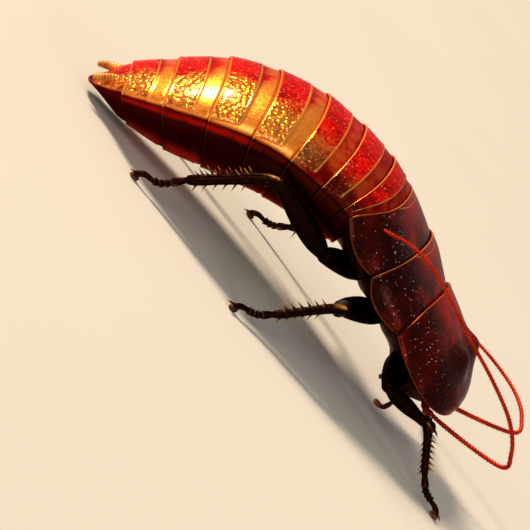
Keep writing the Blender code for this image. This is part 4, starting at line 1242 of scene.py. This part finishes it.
# the joint after the hip, the knee, and five points of the foot
LEGS = {
    "hind_right": (
        (11.1, -8.5, 9.6), (0.0, -13.5, 12.4), (-7.1, -13.5, 4.7), (-8.6, -13.5, 2.3), (-9.6, -13.5, 1.6),
        (-10.9, -13.4, 1.3), (-11.7, -13.4, 0.42),
    ),
    "hind_left": (
        (11.5, 7.5, 10.5), (0.9, 13.6, 12.5), (-6.2, 14.6, 4.8), (-7.7, 14.9, 2.4), (-8.8, 15.1, 1.6),
        (-10.1, 15.3, 1.3), (-11.0, 15.5, 0.42),
    ),
    "middle_right": (
        (17.0, -9.2, 6.9), (16.0, -16.3, 8.7), (10.4, -19.2, 2.9), (9.1, -20.0, 1.7), (8.0, -20.6, 1.3),
        (6.8, -21.2, 1.1), (6.0, -21.6, 0.42),
    ),
    "middle_left": (
        (17.6, 6.6, 8.8), (16.2, 13.6, 10.6), (11.2, 17.8, 3.6), (9.9, 18.7, 2.0), (8.8, 19.3, 1.4),
        (7.6, 19.9, 1.15), (6.8, 20.3, 0.42),
    ),
    "front_right": (
        (28.6, -8.4, 4.6), (33.6, -12.8, 6.0), (37.8, -15.0, 2.3), (39.1, -15.8, 1.3), (40.2, -16.4, 1.05),
        (41.2, -17.0, 0.95), (41.9, -17.4, 0.42),
    ),
    "front_left": (
        (29.2, 3.6, 5.6), (34.4, 8.4, 7.2), (39.0, 11.4, 2.6), (40.2, 12.3, 1.4), (41.2, 13.0, 1.1),
        (42.2, 13.7, 0.95), (42.9, 14.2, 0.42),
    ),
}
# share along the joint, half width, half height, lift
COXA = ((0.0, 1.9, 1.1, 0.0), (0.3, 2.2, 1.2, 0.0), (0.7, 1.8, 1.1, 0.0), (1.0, 1.0, 0.9, 0.0))
FEMUR = (
    (0.0, 0.7, 0.75, 0.0), (0.2, 0.9, 1.3, 0.0), (0.5, 0.9, 1.35, 0.0), (0.82, 0.75, 0.95, 0.0),
    (1.0, 0.62, 0.8, 0.0),
)
TIBIA = (
    (0.0, 0.5, 0.6, 0.0), (0.12, 0.58, 0.7, 0.38), (0.28, 0.6, 0.75, 0.6), (0.6, 0.56, 0.64, 0.3),
    (0.92, 0.6, 0.65, 0.0), (1.0, 0.5, 0.55, 0.0),
)
LIFT = 3
print("legs:", list(LEGS))

# %% Joints of a leg
LIMB_HAIRS = (0.2, 0.8, 0.4, 0.022, 0.7)
SPINES_IN_ROW, SPINE_ROW_TURNS, SPINE_RADIUS = 6, (60, 120, 270), 0.19


def hip_point(segment, along, side):
    """The leg's root, a little inside the underside of its thorax segment."""
    _, _, wide_rear, wide_front = CORES[segment]
    half_width = outline(HALF_WIDTH, along) * (wide_rear + wide_front) / 2 - BELLY_INSET
    depth = outline(DROP, along) * CORE_DEPTH * sqrt(1 - (side / half_width) ** 2)
    return on_body(along, side, 0.1 - depth)


def limb(name, start, end, profile, size, sides, rows, groove=0.0, painted_shine=0.0, hairs=0):
    """A limb joint with rounded ends, its width from a profile, and a painted gold highlight atop its start.
    """
    ahead = (end - start).normalized()
    reach = (end - start).length
    first, last = profile[0][1] * size * 0.5, profile[-1][1] * size * 0.5
    path, shares = [], []
    for k in range(rows + 1):
        along = -first + (reach + first + last) * (0.5 - 0.5 * cos(pi * k / rows))
        shares.append(clamp(along / reach))
        path.append(start + ahead * along + UP * smooth_table(profile, LIFT, shares[-1]) * size)

    def radii(share, turn):
        k = round(share * rows)
        off = (start - path[k]).dot(ahead) / first if shares[k] == 0.0 else (path[k] - end).dot(ahead) / last
        ends = sqrt(max(1 - max(off, 0.0) ** 2, 0.0)) if shares[k] in (0.0, 1.0) else 1.0
        wide, high = (smooth_table(profile, c, shares[k]) * size * ends for c in (1, 2))
        outer = bump(0.0, 0.35, sin(turn)) * (cos(turn) > 0)
        return wide * (1.0 - groove * outer * sin(pi * shares[k])), high

    def marks(share, turn):
        # a golden highlight is painted on the top side near the start, the knee of a shin
        painted_highlight = painted_shine * ease(0.36, 0.2, share) * ease(0.5, 0.9, sin(turn))
        return {"dark": 0.85 * (1.0 - painted_highlight), "gold": painted_highlight, "grain": 0.25}

    return downy_tube(name, path, sides, UP, radii, marks, (hairs, *LIMB_HAIRS))


def shin_spines(knee, ankle, size):
    """The roots of three rows of spines along a shin."""
    ahead = (ankle - knee).normalized()
    across = ahead.cross(UP).normalized()
    over = across.cross(ahead)
    roots = []
    for row, turn in enumerate(SPINE_ROW_TURNS):
        out = across * cos(radians(turn)) + over * sin(radians(turn))
        for k in range(SPINES_IN_ROW):
            share = 0.3 + 0.62 * (k + 0.33 * row) / SPINES_IN_ROW
            length = (1.5 * size + 0.3) * (0.86 + 0.1 * sin(5.0 * k + row))
            root = knee.lerp(ankle, share) + (out * 0.25 + UP * smooth_table(TIBIA, LIFT, share)) * size
            roots.append((root, (out + ahead * 0.9).normalized(), length, SPINE_RADIUS))
    return roots


print("spines on a shin:", SPINES_IN_ROW * len(SPINE_ROW_TURNS))

# %% Feet
FOOT_JOINTS = (0.0, 0.3, 0.41, 0.51, 0.62, 1.0)
BEAD_RADIUS, LAST_BEAD_RADIUS = 0.5, 0.4
FOOT_HAIRS = (40, 0.05, 0.85, 0.32, 0.022, 0.7)
CLAW_LENGTH, CLAW_RADIUS, CLAW_STEPS, CLAW_SPREAD = 1.4, 0.24, 16, radians(32.0)


def foot_bead(share):
    """The foot's bead at this share of its length, and how far along that bead it is."""
    for number, (rear, front) in enumerate(zip(FOOT_JOINTS, FOOT_JOINTS[1:])):
        if share <= front:
            return number, (share - rear) / (front - rear)


def foot(name, points, size):
    """The five beads of a foot, each narrow at its root and wide at its end."""

    def radius(share):
        number, t = foot_bead(share)
        widest = BEAD_RADIUS if number < 4 else LAST_BEAD_RADIUS
        form = 0.72 + 0.3 * ease(0.0, 0.85, t) - 0.2 * ease(0.88, 1.0, t)
        return widest * form * (0.85 + 0.15 * size) * rounded(share, 0.02)

    def marks(share, turn):
        t = foot_bead(share)[1]
        pale = 0.8 * ease(-0.2, -0.8, sin(turn)) * ease(0.5, 0.8, t)
        return {"dark": 0.92, "line": pale, "gold": 0.3 * bump(1.0, 0.12, t)}

    path = curve_through(points, 121)
    return downy_tube(f"foot_{name}_skin", path, 18, UP, round_tube(radius), marks, FOOT_HAIRS, low=0.0)


def toe_axes(points):
    """The foot's end, and the level directions ahead and to its right."""
    ahead = points[-1] - points[-2]
    level = Vector((ahead.x, ahead.y, 0.0)).normalized()
    return points[-1], level, level.cross(UP)


def claws(name, points):
    """Two curved claws that spread from the foot's end."""
    end, level, across = toe_axes(points)

    def radius(share):
        return CLAW_RADIUS * (1 - 0.9 * share**1.3) * rounded(share, 0.08 if share < 0.5 else 0.01)

    def marks(share, turn):
        return {"gold": 0.5 * ease(0.3, 0.9, share)}

    pair = []
    for sign in SIDES.values():
        direction = level * cos(CLAW_SPREAD) + across * sin(CLAW_SPREAD) * sign
        start = end - level * 0.55 + across * sign * 0.19
        shares = [k / CLAW_STEPS for k in range(CLAW_STEPS + 1)]
        path = [start + direction * CLAW_LENGTH * t + UP * (0.14 + 0.3 * t - 0.62 * t * t) for t in shares]
        pair.append(tube("claw", path, 12, UP, round_tube(radius), marks, low=0.0))
    return join(pair[0], pair[1:], f"claws_{name}")


def pad(name, points):
    """The soft pad between the claws, flat where it stands on the floor."""
    end, level, across = toe_axes(points)
    axes = (level * 0.66, across * 0.44, UP * 0.36)
    piece = egg(f"pad_{name}", end - level * 0.25 - UP * 0.12, axes, 16, 20)
    for vertex in piece.data.vertices:
        vertex.co.z = max(vertex.co.z, 0.0)
    return piece


# dense horn with a sharp gloss, dark at the root and amber towards the point
CLAW = cuticle(
    "dark_amber_claw_horn", "#160604", "#3A1409", "#B06A2A", "#070202", "#8A4A1E",
    grain_mm=0.3, bump_mm=0.01, rough=0.18, metal=0.2,
)
# soft skin with a fine grain, which looks paler and duller than the claws
PAD = cuticle(
    "soft_pale_pad_skin", "#4A3024", "#6E4C38", "#A87C58", "#2E1A12", "#C8A684",
    grain_mm=0.12, bump_mm=0.015, rough=0.55, metal=0.0,
)
print("foot joints at shares:", FOOT_JOINTS)

# %% All six legs
for name, places in LEGS.items():
    trochanter, knee, *toes = (Vector(place) for place in places)
    pair, side = name.split("_")
    segment, along, beside, size = LEG_PAIRS[pair]
    hip = hip_point(segment, along, SIDES[side] * beside)
    coxa = limb(f"hip_joint_{name}", hip, trochanter, COXA, 0.6 + 0.4 * size, 40, 36, groove=0.12)
    dress(coxa, LEG, "coxa", f"coxa_{name}")
    thigh = limb(f"thigh_{name}", trochanter, knee, FEMUR, size, 36, 40, hairs=30)
    dress(thigh, LEG, "leg", f"femur_{name}")
    shin = limb(f"shin_{name}", knee, toes[0], TIBIA, size, 32, 44, painted_shine=0.9, hairs=50)
    join(shin, planted(SPINE, shin_spines(knee, toes[0], size)), shin.name)
    dress(shin, LEG, "leg", f"tibia_{name}")
    dress(foot(name, toes, size), LEG, "foot", f"foot_{name}")
    dress(claws(name, toes), CLAW, "foot")
    dress(pad(name, toes), PAD, "foot")
    print(name, "leg done, vertices of its shin:", len(shin.data.vertices))
for model in (HAIR, SPINE):
    bpy.data.objects.remove(model)
